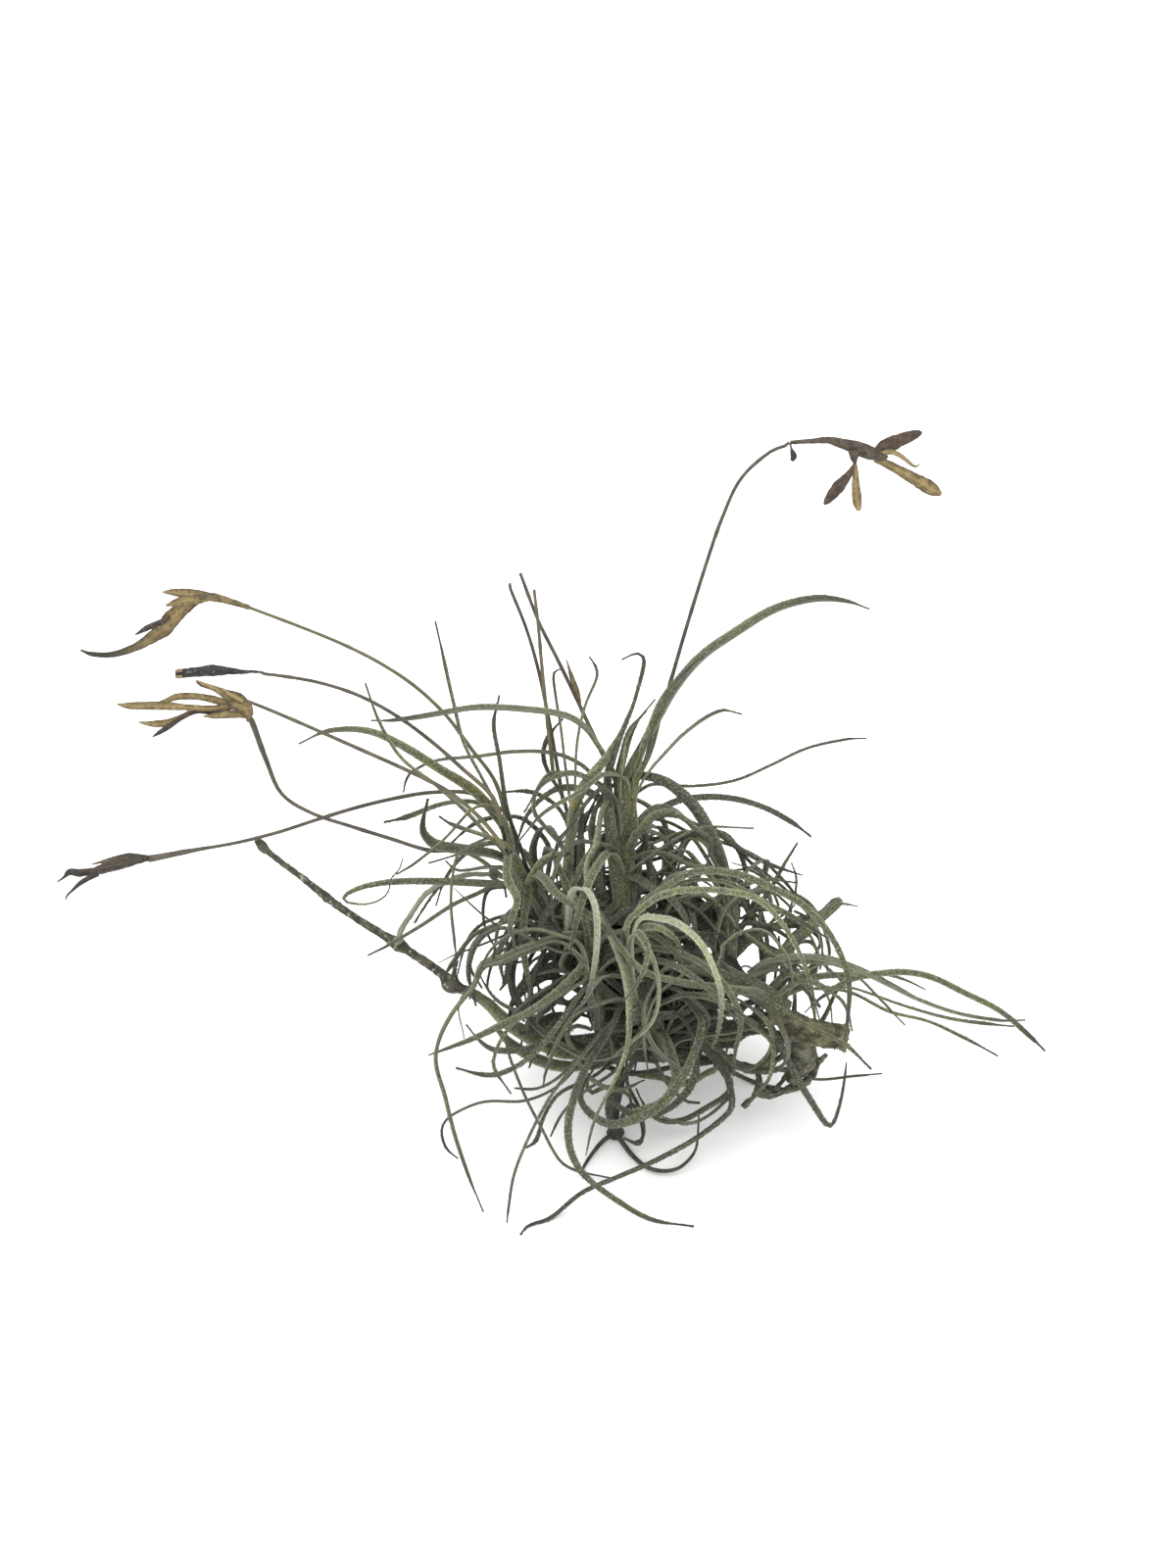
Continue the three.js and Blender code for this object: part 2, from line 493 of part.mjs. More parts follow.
function addStalk(node, path, taper = 1) {
  colourOf[node] = "stalk";
  const points = smoothPath(spatial(path), STALK_STEP);
  const last = points.length - 1;
  const radii = points.map((_, i) => STALK_RADIUS * THREE.MathUtils.lerp(1.2, taper, i / last));
  return addStrand(node, points, radii, stalkFreedom(points), { sides: STALK_SIDES, pointed: false });
}

addStalk("stalk_tall", [[1, 31, -3], [3.6, 35, -4], [5.6, 42, -5], [8.6, 52, -6], [11.8, 63, -7],
  [17.4, 80.8, -9],
  [20.4, 88.8, -10], [23, 94, -11], [25.8, 97.4, -11.6], [29.6, 100, -12], [33.2, 101.4, -12]]);
addStalk("stalk_left_upper", [[-24.6, 24.4, 0], [-27, 32, -1], [-32, 39.4, -2], [-39, 48.2, -4],
  [-48, 55.2, -5],
  [-60, 61.4, -6], [-72, 66, -6], [-78.2, 68.3, -6]]);
addStalk("stalk_left_dark", [[-25.6, 23.6, 9], [-27.4, 29, 8], [-34, 35.4, 6], [-42, 42, 4], [-52, 48.8, 1],
  [-64, 53, 0], [-70, 54, 0], [-75, 54.6, 0]]);
addStalk("stalk_left_bud", [[-25, 19, 14], [-29, 24, 14], [-37, 30.8, 14], [-50, 37, 13], [-61.6, 42.2, 12],
  [-75.6, 48.2, 10], [-83.6, 51, 9], [-88, 52.6, 8.6]]);
addStalk("stalk_left_lower", [[-24.6, 12.6, 2], [-34, 16.6, 1], [-42, 19, 0], [-54, 22.6, -1],
  [-67.6, 27.6, -1],
  [-71.6, 31.4, -1], [-73.4, 36, -1], [-74.4, 40, -1], [-77, 45.8, -1]]);
addStalk("stalk_left_long", [[-24, 25.6, -8], [-32, 30.2, -8], [-42, 30, -7], [-56, 27, -5],
  [-68, 23.2, -4],
  [-76, 20.8, -3], [-90, 18.2, -2], [-97.6, 16.7, -2]]);
addStalk("stalk_young_left", [[-13, 28, -12], [-15.4, 42, -10], [-17.4, 52, -8], [-20, 62, -6],
  [-24.2, 72.8, -4]], YOUNG_TAPER);
addStalk("stalk_young_middle", [[-3.4, 34.6, -1], [-8, 44.4, -4], [-13, 55, -8], [-18, 65, -10],
  [-22, 75.8, -12]], YOUNG_TAPER);
addStalk("stalk_young_right", [[-15, 33, -2], [-16, 45, -2], [-17, 51, -2], [-17.8, 61, -2],
  [-19, 71.6, -2]], YOUNG_TAPER);

// ---------------------------------------------------------------- capsule heads

// A head is a short axis that carries on from its stalk, with the split valves of its
// capsules fused to it. Each valve is [widest, from, to], or with a bend between them.
function addHead(node, colour, axisWidth, axis, valves) {
  colourOf[node] = colour;
  const points = smoothPath(spatial(axis), STALK_STEP * 0.6);
  const radii = points.map(() => axisWidth / 2);
  addStrand(node, points, radii, points.map(() => 0), { sides: VALVE_SIDES, pointed: true });
  valves.forEach(([width, ...path]) => {
    const line = smoothPath(spatial(path), STALK_STEP * 0.6);
    const last = line.length - 1;
    const swell = line.map((_, i) => {
      const along = i / last;
      const belly = Math.sin(Math.PI * (0.18 + 0.72 * along));
      return Math.max(LEAF_TIP_RADIUS, (width / 2) * belly);
    });
    addStrand(node, line, swell, line.map(() => 0), { sides: VALVE_SIDES, pointed: true });
  });
}

addHead("capsules_tall", "darkCapsule", 1.7,
  [[33.7, 101.6, -12], [37, 102.2, -12], [41, 102.6, -12], [44.4, 102, -12], [46.4, 100.8, -12],
    [49.6, 100, -12],
    [53, 98.6, -12]], [
  [1.9, [45.8, 101, -12], [46.4, 98, -12], [43.8, 93.6, -9], [40.4, 89.2, -7]],
  [1.8, [45.8, 101, -12], [46.8, 97.6, -12], [47.2, 92, -10], [47.4, 87.8, -9]],
  [2.0, [49.6, 100, -12], [53, 100.4, -12], [57, 102.6, -14], [60, 103.8, -15]],
  [1.3, [49.6, 100, -12], [54, 99.4, -12], [57.4, 99, -10], [59.4, 97.2, -9]],
  [1.9, [49.6, 100, -12], [53, 98.4, -12], [58, 95.4, -14], [64, 91, -15]],
  [1.2, [34.4, 101.7, -12], [33.8, 100.2, -11], [34, 98.2, -11]],
]);
addHead("capsules_left_upper", "straw", 1.7,
  [[-78.8, 68.5, -6], [-82, 69.4, -6], [-87, 70.4, -6], [-91, 71, -6], [-95, 71.2, -6]], [
  [1.4, [-86, 70.2, -6], [-90, 69.2, -4], [-94, 68.4, -3]],
  [2.6, [-85, 70, -6], [-90, 68.4, -7], [-93.4, 65.4, -8], [-98, 61.4, -8], [-104, 58.8, -8],
    [-108, 58.2, -8],
    [-111.6, 59.4, -8]],
  [1.5, [-90, 68.4, -7], [-94, 65.8, -5], [-97, 63.6, -4], [-100.4, 62.4, -4]],
]);
addHead("capsules_closed", "darkCapsule", 1.9,
  [[-75.7, 54.7, 0], [-80, 54.8, 0], [-84, 55.4, 0], [-88, 55.2, 0], [-92, 54.6, 0]], [
  [1.4, [-79, 54.8, 0], [-84, 54.4, 1.4], [-90, 54, 1.8]],
]);
addHead("capsules_left_lower", "straw", 2.0,
  [[-77.5, 46.5, -1], [-79.4, 47.4, -1], [-83, 48.6, -1], [-88, 50, -1], [-92, 50, -1], [-96, 48.8, -1]], [
  [1.6, [-79.4, 47.4, -1], [-84, 47.2, 1], [-90, 47.8, 2.6], [-96, 48.2, 3], [-104, 48.4, 3]],
  [1.6, [-79.4, 47.4, -1], [-84, 46.6, -3], [-90, 45.6, -4], [-94, 44.6, -4], [-99.6, 44.6, -4]],
  [1.5, [-79.4, 47.4, -1], [-84, 46.6, 0], [-90, 45.8, 0], [-93, 44, 0], [-97, 41.6, 0]],
  [1.5, [-78.6, 47, -1], [-82, 46, -1], [-86.6, 45.4, -1]],
]);
addHead("capsules_left_long", "darkCapsule", 2.0,
  [[-98.3, 16.5, -2], [-102, 15.6, -2], [-106, 14.2, -2], [-109, 13, -2], [-112, 11.8, -2],
    [-116.4, 12, -2]], [
  [1.5, [-106, 14.2, -2], [-110, 13.2, -1], [-113, 10.6, 0], [-114.6, 8.4, 0]],
  [1.3, [-99, 16.4, -2], [-103, 17, -3.4], [-109.4, 15.6, -4.4]],
]);

// ---------------------------------------------------------------- twig, bark, roots, foot

const TWIG_PATH = [[-75.6, 20.6, -10], [-73.6, 18.4, -10], [-66, 12.6, -9], [-58, 6.4, -8], [-46, -1.2, -8],
  [-38, -6.6, -8], [-35.6, -9, -8], [-31, -11, -8], [-25, -16, -9], [-16, -20.4, -11], [-4, -23, -15],
    [6, -24, -19]];
const TWIG_KNOTS = [
  { at: 0.02, size: 1.5 },
  { at: 0.35, size: 1.5 },
  { at: 0.5, size: 2.2 },
  { at: 0.76, size: 1.4 },
];
const KNOT_SPREAD = 0.014;  // half length of a knot, as a share of the twig
const TWIG_STEP = 3.4;
const SIDE_SHOOT_PATH = [[-47, -0.6, -8], [-46, 2.4, -7], [-44, 5.6, -5], [-41, 9.6, -3], [-37, 12, -1.6],
  [-33, 13.4, -1.6], [-29, 13.6, -1.6]];
const SIDE_SHOOT_RADIUS = 0.6;

// A stiff strand doesn't give way to its neighbours.
function addStiff(node, points, radii, sides) {
  addStrand(node, points, radii, points.map(() => 0), { sides, pointed: false });
}

function buildTwig() {
  colourOf.twig = "twig";
  const points = smoothPath(spatial(TWIG_PATH), TWIG_STEP);
  const last = points.length - 1;
  const radii = points.map((_, i) => {
    const along = i / last;
    const swell = TWIG_KNOTS.reduce((sum, knot) => {
      return sum + (knot.size - 1) * Math.exp(-(((along - knot.at) / KNOT_SPREAD) ** 2));
    }, 1);
    return TWIG_RADIUS * swell * (1 + 0.06 * Math.sin(i * 2.4));
  });
  addStiff("twig", points, radii, TWIG_SIDES);
  const shoot = smoothPath(spatial(SIDE_SHOOT_PATH), STALK_STEP / 2);
  addStiff("twig", shoot, shoot.map((_, i) => SIDE_SHOOT_RADIUS - 0.015 * i), TWIG_SIDES - 1);
  return points;
}

function buildBark() {
  colourOf.bark_stub = "bark";
  const points = smoothPath(spatial([[44.4, -19, 3], [38, -17, 4], [33.4, -14.8, 5.5]]), BARK_STEP);
  const radii = points.map((_, i) => BARK_RADIUS * (1 - 0.05 * i + 0.05 * Math.sin(i * 3)));
  addStiff("bark_stub", points, radii, BARK_SIDES);
}

const OLD_STEM_START = [20, -25, -10];
const OLD_STEM_RADIUS = 1.3;

const OLD_STEM_SIDES = 5;

function buildOldStems() {
  colourOf.old_stems = "bark";
  const addOldStem = (path, radius) => {
    const points = smoothPath(spatial(path), BARK_STEP);
    const radii = points.map((_, i) => radius * (1 + 0.12 * Math.sin(i * 2.1)));
    addStiff("old_stems", points, radii, OLD_STEM_SIDES);
  };
  addOldStem([OLD_STEM_START, [24, -25.6, -10], [27, -27, -10], [28, -30, -10], [26, -32, -10],
    [23.6, -34, -10]],
    OLD_STEM_RADIUS);
  addOldStem([[27, -30, -10], [32, -31, -9], [37, -29.4, -7.6], [40.6, -26, -6], [43, -23.8, -4]], 1.7);
  addOldStem([[24, -25.8, -10], [28, -26.4, -8], [33, -26, -7], [37, -27.4, -7.4]], YOUNG_TAPER);
}

const ROOT_HUB = [1, -19.5, -2];

function buildRoots(twigPoints) {
  colourOf.roots = "root";
  const hub = place(...ROOT_HUB);
  const bases = strands
    .filter((strand) => strand.stem && strand.node !== CUT_SHOOT)
    .map((stem) => ({ base: stem.points[0], radius: stem.radii[0] }));
  bases.push({ base: place(...OLD_STEM_START), radius: OLD_STEM_RADIUS });
  bases.forEach(({ base, radius }) => {
    const reach = base.distanceTo(hub);
    const short = (reach - radius - ROOT_RADIUS - CLEARANCE) / reach;
    const end = hub.clone().lerp(base, short);
    const bow = new THREE.Vector3(between(-1, 1), between(-1, 1), between(-1, 1)).multiplyScalar(reach * 0.1);
    const middle = hub.clone().lerp(end, 0.5).add(bow);
    const points = smoothPath([hub, middle, end], LEAF_STEP);
    const freedom = points.map((_, i) => Math.sin((Math.PI * i) / (points.length - 1)));
    addStrand("roots", points, points.map(() => ROOT_RADIUS), freedom, {
      sides: ROOT_SIDES, pointed: false, rootZone: ROOT_ROOT_ZONE,
    });
  });
  addWrap(hub, twigPoints.slice(-9, -3));
}

const WRAP_POINTS = 14;
const WRAP_TURN = 0.9;      // from one of its points to the next, in radians
const WRAP_RADIUS = ROOT_RADIUS * 0.7;

// One root winds round the twig before it reaches the hub.
function addWrap(hub, grip) {
  const coil = [hub.clone()];
  const grasp = TWIG_RADIUS * 1.5 + ROOT_RADIUS + CLEARANCE;
  for (let i = 0; i <= WRAP_POINTS; i += 1) {
    const along = (1 - i / WRAP_POINTS) * (grip.length - 1);
    const below = Math.min(grip.length - 2, Math.floor(along));
    const centre = grip[below].clone().lerp(grip[below + 1], along - below);
    const axis = grip[below + 1].clone().sub(grip[below]).normalize();
    const radial = UP.clone().applyAxisAngle(axis, i * WRAP_TURN);
    radial.sub(axis.clone().multiplyScalar(radial.dot(axis))).normalize();
    coil.push(centre.addScaledVector(radial, grasp));
  }
  const wrap = smoothPath(coil, TWIG_STEP);
  addStiff("roots", wrap, wrap.map(() => WRAP_RADIUS), ROOT_SIDES);
}

function buildFoot() {
  colourOf.foot = "foot";
  const stub = smoothPath(spatial([[-1.4, -29, -8], [-2.4, -34, -9.6],
    [-2.6, -39.4, FOOT.depth]]), BARK_STEP);
  addStiff("foot", stub, stub.map(() => FOOT_RADIUS), STEM_SIDES);
  const wisps = [
    [[-2.6, -38.6, -10.4], [-6, -42, -6], [-8.6, -45.6, -2], [-9.4, -47.6, 2]],
    [[-2.2, -38.6, -10.4], [0, -42.6, -5.4], [5, -46.6, 0.6], [10, -46.6, 1], [14, -42.4, -4],
      [14.6, -35.6, -6]],
    [[-1.6, -32, -9], [1.8, -34.6, -4], [3.2, -39.2, 0], [2, -42, 2.4], [-0.6, -40.4, 3.4]],
  ];
  wisps.forEach((path) => {
    const points = smoothPath(spatial(path), BARK_STEP);
    const radii = leafRadii(points, WISP_WIDTH, LEAF_TIP_RADIUS);
    addStrand("foot", points, radii, leafFreedom(points), { rootZone: LEAF_ROOT_ZONE });
  });
}

const twigPoints = buildTwig();
buildBark();
buildOldStems();
buildRoots(twigPoints);
buildFoot();

// ---------------------------------------------------------------- bending clear

const BEND_ROUNDS = 120;
const MOST_PUSH = 1.2;
const LEAST_GIVE = 0.15;
const WIDEST_REACH = 16;    // pieces further apart than this can't touch
const FACE_SHARE = 0.3;     // strands slip past each other mostly in depth

function slipDirection(offset) {
  const across = offset.dot(ACROSS) * FACE_SHARE;
  const up = offset.dot(UP) * FACE_SHARE;
  const depth = offset.dot(TOWARDS);
  return new THREE.Vector3()
    .addScaledVector(ACROSS, across)
    .addScaledVector(UP, up)
    .addScaledVector(TOWARDS, depth)
    .normalize();
}

// The nearest points of two straight pieces, as shares along each and their offset.
function nearestShares(a0, a1, b0, b1) {
  const u = a1.clone().sub(a0);
  const v = b1.clone().sub(b0);
  const w = a0.clone().sub(b0);
  const uu = u.dot(u);
  const uv = u.dot(v);
  const vv = v.dot(v);
  const uw = u.dot(w);
  const vw = v.dot(w);
  const spread = uu * vv - uv * uv;
  let s = spread > 1e-9 ? THREE.MathUtils.clamp((uv * vw - vv * uw) / spread, 0, 1) : 0.5;
  const t = THREE.MathUtils.clamp((uv * s + vw) / vv, 0, 1);
  s = THREE.MathUtils.clamp((uv * t - uw) / uu, 0, 1);
  const offset = w.addScaledVector(u, s).addScaledVector(v, -t);
  return { s, t, offset };
}

function mayTouch(first, second, i, j) {
  if (first === second) {
    return Math.abs(i - j) < 4;
  }
  if (first.node !== second.node) {
    return false;
  }
  if (first.freedom.every((free) => free === 0) && second.freedom.every((free) => free === 0)) {
    return true;
  }
  const alongFirst = i / (first.points.length - 1);
  const alongSecond = j / (second.points.length - 1);
  if (first.stemOf === second || second.stemOf === first) {
    return Math.max(first.stemOf ? alongFirst : 0, second.stemOf ? alongSecond : 0) < STEM_ZONE;
  }
  return alongFirst < first.rootZone && alongSecond < second.rootZone;
}

function listPieces() {
  const pieces = [];
  strands.forEach((strand) => {
    for (let i = 0; i < strand.points.length - 1; i += 1) {
      pieces.push({ strand, i, middle: new THREE.Vector3(), half: 0 });
    }
  });
  return pieces;
}

function pushApart(first, second, near, gap) {
  const { s, t, offset } = near;
  const distance = offset.length();
  const direction = distance > 1e-6 ? slipDirection(offset) : TOWARDS.clone();
  const ends = [
    [first, first.i, 1 - s, 1], [first, first.i + 1, s, 1],
    [second, second.i, 1 - t, -1], [second, second.i + 1, t, -1],
  ];
  const give = ([piece, at, share]) => share * piece.strand.freedom[at] * piece.strand.yields;
  const total = ends.reduce((sum, end) => sum + give(end), 0);
  if (total < 1e-6) {
    return;
  }
  const push = Math.min(MOST_PUSH, gap - distance) / Math.max(LEAST_GIVE, total);
  ends.forEach(([piece, at, share, sign]) => {
    piece.strand.shift[at].addScaledVector(direction, push * share * sign);
  });
}

function bendClear() {
  const pieces = listPieces();
  for (let round = 0; round < BEND_ROUNDS; round += 1) {
    strands.forEach((strand) => {
      strand.shift = strand.points.map(() => new THREE.Vector3());
    });
    pieces.forEach((piece) => {
      const { strand, i } = piece;
      piece.middle.addVectors(strand.points[i], strand.points[i + 1]).multiplyScalar(0.5);
      piece.half = strand.points[i].distanceTo(strand.points[i + 1]) / 2;
      piece.radius = Math.max(strand.radii[i], strand.radii[i + 1]);
      piece.still = strand.freedom[i] + strand.freedom[i + 1] === 0;
    });
    pieces.sort((a, b) => a.middle.x - b.middle.x);
    let touching = 0;
    for (let a = 0; a < pieces.length; a += 1) {
      const first = pieces[a];
      for (let b = a + 1; b < pieces.length; b += 1) {
        const second = pieces[b];
        const ahead = second.middle.x - first.middle.x;
        if (ahead > WIDEST_REACH) {
          break;
        }
        const gap = first.radius + second.radius + CLEARANCE;
        const reach = first.half + second.half + gap;
        if (first.still && second.still) {
          continue;
        }
        if (first.middle.distanceToSquared(second.middle) > reach * reach) {
          continue;
        }
        if (mayTouch(first.strand, second.strand, first.i, second.i)) {
          continue;
        }
        const near = nearestShares(
          first.strand.points[first.i], first.strand.points[first.i + 1],
          second.strand.points[second.i], second.strand.points[second.i + 1],
        );
        if (near.offset.length() < gap) {
          touching += 1;
          pushApart(first, second, near, gap);
        }
      }
    }
    moveStrands();
    if (touching === 0) {
      break;
    }
  }
}

function moveStrands() {
  strands.forEach((strand) => {
    const { points, shift, freedom, yields, radii } = strand;
    const smooth = shift.map((own, i) => {
      const before = shift[Math.max(0, i - 1)];
      const after = shift[Math.min(shift.length - 1, i + 1)];
      return own.clone().multiplyScalar(0.6).addScaledVector(before, 0.2).addScaledVector(after, 0.2);
    });
    points.forEach((point, i) => {
      point.addScaledVector(smooth[i], freedom[i] * yields);
      if (freedom[i] > 0 && point.z < radii[i]) {
        point.z = radii[i];
      }
    });
  });
}

bendClear();

// ---------------------------------------------------------------- solids

const WORLD_UP = new THREE.Vector3(0, 0, 1);
const NEARLY_UPRIGHT = 0.8;

// Rings of corners along the strand, closed by a flat end or by a point.
function tubeGeometry(strand) {
  const { points, radii, sides, pointed } = strand;
  const count = points.length;
  const rings = pointed ? count - 1 : count;
  const positions = [];
  const indices = [];
  let normal = null;
  for (let i = 0; i < rings; i += 1) {
    const before = points[Math.max(0, i - 1)];
    const after = points[Math.min(count - 1, i + 1)];
    const tangent = after.clone().sub(before).normalize();
    const guide = normal ?? (Math.abs(tangent.z) < NEARLY_UPRIGHT ? WORLD_UP : ACROSS);
    normal = guide.clone().sub(tangent.clone().multiplyScalar(guide.dot(tangent))).normalize();
    const side = new THREE.Vector3().crossVectors(tangent, normal);
    for (let k = 0; k < sides; k += 1) {
      const angle = (2 * Math.PI * k) / sides;
      const corner = points[i].clone()
        .addScaledVector(normal, radii[i] * Math.cos(angle))
        .addScaledVector(side, radii[i] * Math.sin(angle));
      positions.push(corner.x, corner.y, corner.z);
    }
  }
  for (let k = 1; k < sides - 1; k += 1) {
    indices.push(0, k + 1, k);
  }
  for (let i = 0; i < rings - 1; i += 1) {
    for (let k = 0; k < sides; k += 1) {
      const next = (k + 1) % sides;
      const a = i * sides + k;
      const b = i * sides + next;
      const c = b + sides;
      const d = a + sides;
      indices.push(a, b, c, a, c, d);
    }
  }
  const top = (rings - 1) * sides;
  if (pointed) {
    const lastRing = points[count - 2];
    const last = points[count - 1].clone().sub(lastRing);
    const tip = last.setLength(Math.max(TIP_LENGTH, last.length())).add(lastRing);
    positions.push(tip.x, tip.y, tip.z);
    for (let k = 0; k < sides; k += 1) {
      indices.push(top + k, top + ((k + 1) % sides), rings * sides);
    }
  } else {
    for (let k = 1; k < sides - 1; k += 1) {
      indices.push(top, top + k, top + k + 1);
    }
  }
  return { positions, indices };
}

function solidFrom({ positions, indices }) {
  const mesh = new wasm.Mesh({
    numProp: 3,
    vertProperties: new Float32Array(positions),
    triVerts: new Uint32Array(indices),
  });
  return new wasm.Manifold(mesh);
}

const KNOB_COLUMNS = 8;
const KNOB_ROWS = 5;

function solidFromGeometry(geometry) {
  geometry.deleteAttribute("normal");
  geometry.deleteAttribute("uv");
  const merged = mergeVertices(geometry);
  return solidFrom({ positions: merged.attributes.position.array, indices: merged.index.array });
}

function knobSolid(radius, centre, stretch) {
  const knob = new THREE.SphereGeometry(radius, KNOB_COLUMNS, KNOB_ROWS);
  return solidFromGeometry(knob.scale(...stretch).translate(...centre));
}

const FLOOR_BLOCK = { side: 80, thickness: 40 };

function floorSolid() {
  const { side, thickness } = FLOOR_BLOCK;
  return solidFromGeometry(new THREE.BoxGeometry(side, side, thickness).translate(0, 0, -thickness / 2));
}

const METALNESS = 0;
const ROUGHNESSES = {
  leaf: 0.9, paleLeaf: 0.95, darkLeaf: 0.85, stalk: 0.75, straw: 0.7,
  darkCapsule: 0.65, twig: 0.95, bark: 0.9, root: 0.85, foot: 0.85,
};

const KNOBS = {
  roots: () => knobSolid(ROOT_HUB_RADIUS, place(...ROOT_HUB), [1, 0.8, 0.8]),
  foot: () => knobSolid(KNOT_RADIUS, [0, 0, KNOT_RADIUS - KNOT_FLAT], [1, 0.9, 1]),
};

const SMALLEST_EDGE = 0.02;  // fusing leaves no edge shorter than this
const SAME_POINT = 0.001;    // corners closer than this are one corner

// A loose scrap is dropped here, and a sealed hollow between crossing leaves is filled.
function outerBody(solid) {
  return solid.decompose().sort((a, b) => b.volume() - a.volume())[0];
}

function geometryOf(solid) {
  const { vertProperties, triVerts } = solid.getMesh();
  const geometry = new THREE.BufferGeometry();
  geometry.setAttribute("position", new THREE.BufferAttribute(new Float32Array(vertProperties), 3));
  geometry.setIndex(new THREE.BufferAttribute(new Uint32Array(triVerts), 1));
  return geometry;
}

function buildNode(node) {
  const own = strands.filter((strand) => strand.node === node);
  const solids = own.map((strand) => solidFrom(tubeGeometry(strand)));
  if (KNOBS[node]) {
    solids.push(KNOBS[node]());
  }
  let joined = wasm.Manifold.union(solids);
  if (node === "foot") {
    joined = joined.subtract(floorSolid());
  }
  const coarse = mergeVertices(geometryOf(outerBody(joined).simplify(SMALLEST_EDGE)), SAME_POINT);
  const corners = { positions: coarse.attributes.position.array, indices: coarse.index.array };
  const body = outerBody(solidFrom(corners));
  const colour = colourOf[node];
  const material = new THREE.MeshStandardMaterial({
    color: COLOURS[colour], roughness: ROUGHNESSES[colour], metalness: METALNESS,
  });
  const mesh = new THREE.Mesh(geometryOf(body), material);
  mesh.name = node;
  return mesh;
}

const plant = new THREE.Group();
Object.keys(colourOf).forEach((node) => {
  plant.add(buildNode(node));
});

export default plant;
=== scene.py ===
"""The looks of an air plant: a clump of scurfy leaf tufts on a piece of knotted twig."""

import math
import random

import bmesh
import bpy
from bpy.props import FloatProperty, FloatVectorProperty, IntProperty, PointerProperty
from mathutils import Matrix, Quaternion, Vector, noise
from mathutils.geometry import interpolate_bezier, intersect_point_line


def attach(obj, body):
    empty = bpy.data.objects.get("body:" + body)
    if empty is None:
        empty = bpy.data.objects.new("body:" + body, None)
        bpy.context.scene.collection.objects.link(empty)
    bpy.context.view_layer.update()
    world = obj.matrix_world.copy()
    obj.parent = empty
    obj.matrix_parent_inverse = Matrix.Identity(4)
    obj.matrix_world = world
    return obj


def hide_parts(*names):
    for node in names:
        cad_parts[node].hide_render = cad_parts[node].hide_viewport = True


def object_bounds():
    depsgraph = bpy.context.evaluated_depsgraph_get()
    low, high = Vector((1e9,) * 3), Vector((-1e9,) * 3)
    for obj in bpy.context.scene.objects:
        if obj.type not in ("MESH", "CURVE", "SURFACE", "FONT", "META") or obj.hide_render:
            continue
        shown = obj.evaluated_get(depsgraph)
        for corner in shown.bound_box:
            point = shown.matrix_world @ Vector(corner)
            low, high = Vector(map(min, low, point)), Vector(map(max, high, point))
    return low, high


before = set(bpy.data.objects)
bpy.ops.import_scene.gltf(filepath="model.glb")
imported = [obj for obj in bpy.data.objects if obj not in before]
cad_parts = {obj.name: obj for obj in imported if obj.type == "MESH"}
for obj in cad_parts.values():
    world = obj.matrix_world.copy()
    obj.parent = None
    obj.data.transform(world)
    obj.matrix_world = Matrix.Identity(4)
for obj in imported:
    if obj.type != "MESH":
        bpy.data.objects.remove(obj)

bl_info = {
    "name": "Air plant clump",
    "version": (1, 0, 0),
    "blender": (4, 5, 0),
    "location": "3D View > Sidebar > Air plant",
    "description": "Dresses the packed air plant with channelled leaves, capsules, twig and roots",
    "category": "Object",
}

CAD_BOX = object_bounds()
BODY = "root"
MM = 0.001
SEED = 4242

# ------------------------------------------------------------------ the viewer's frame
# A point is [across, up] in the plane that faces the viewer and a depth towards them, in
# millimetres, as on the part itself.

VIEW_TILT = math.radians(30)
VIEW_DISTANCE = 600
VIEW_CENTRE = (-8, 32)
PICTURE_HEIGHT = 320            # what the picture takes in at the middle depth
FOOT = (-2.4, -40, -10.7)
STANDS_FROM = 14                # above this height in view the plant stands off its own slope
STANDS_BY = 0.42

ACROSS = Vector((1, 0, 0))
UP = Vector((0, math.sin(VIEW_TILT), math.cos(VIEW_TILT)))
TOWARDS = Vector((0, -math.cos(VIEW_TILT), math.sin(VIEW_TILT)))


def view_point(across, up, depth):
    nearer = 1 - depth / VIEW_DISTANCE
    shown_across = VIEW_CENTRE[0] + (across - VIEW_CENTRE[0]) * nearer
    shown_up = VIEW_CENTRE[1] + (up - VIEW_CENTRE[1]) * nearer
    return ACROSS * shown_across + UP * shown_up + TOWARDS * depth


ORIGIN = view_point(*FOOT)


def place(across, up, depth):
    """A point of the part, in metres."""
    standing = max(0, up - STANDS_FROM) * STANDS_BY
    return (view_point(across, up, depth + standing) - ORIGIN) * MM


def route(points):
    return [place(*point) for point in points]


def seen(point):
    """Where the viewer sees a point of the part: across and up."""
    spot = point / MM + ORIGIN
    nearer = 1 - spot.dot(TOWARDS) / VIEW_DISTANCE
    return Vector([
        middle + (spot.dot(axis) - middle) / nearer
        for middle, axis in zip(VIEW_CENTRE, (ACROSS, UP))])


# ------------------------------------------------------------------ the plant's own lines

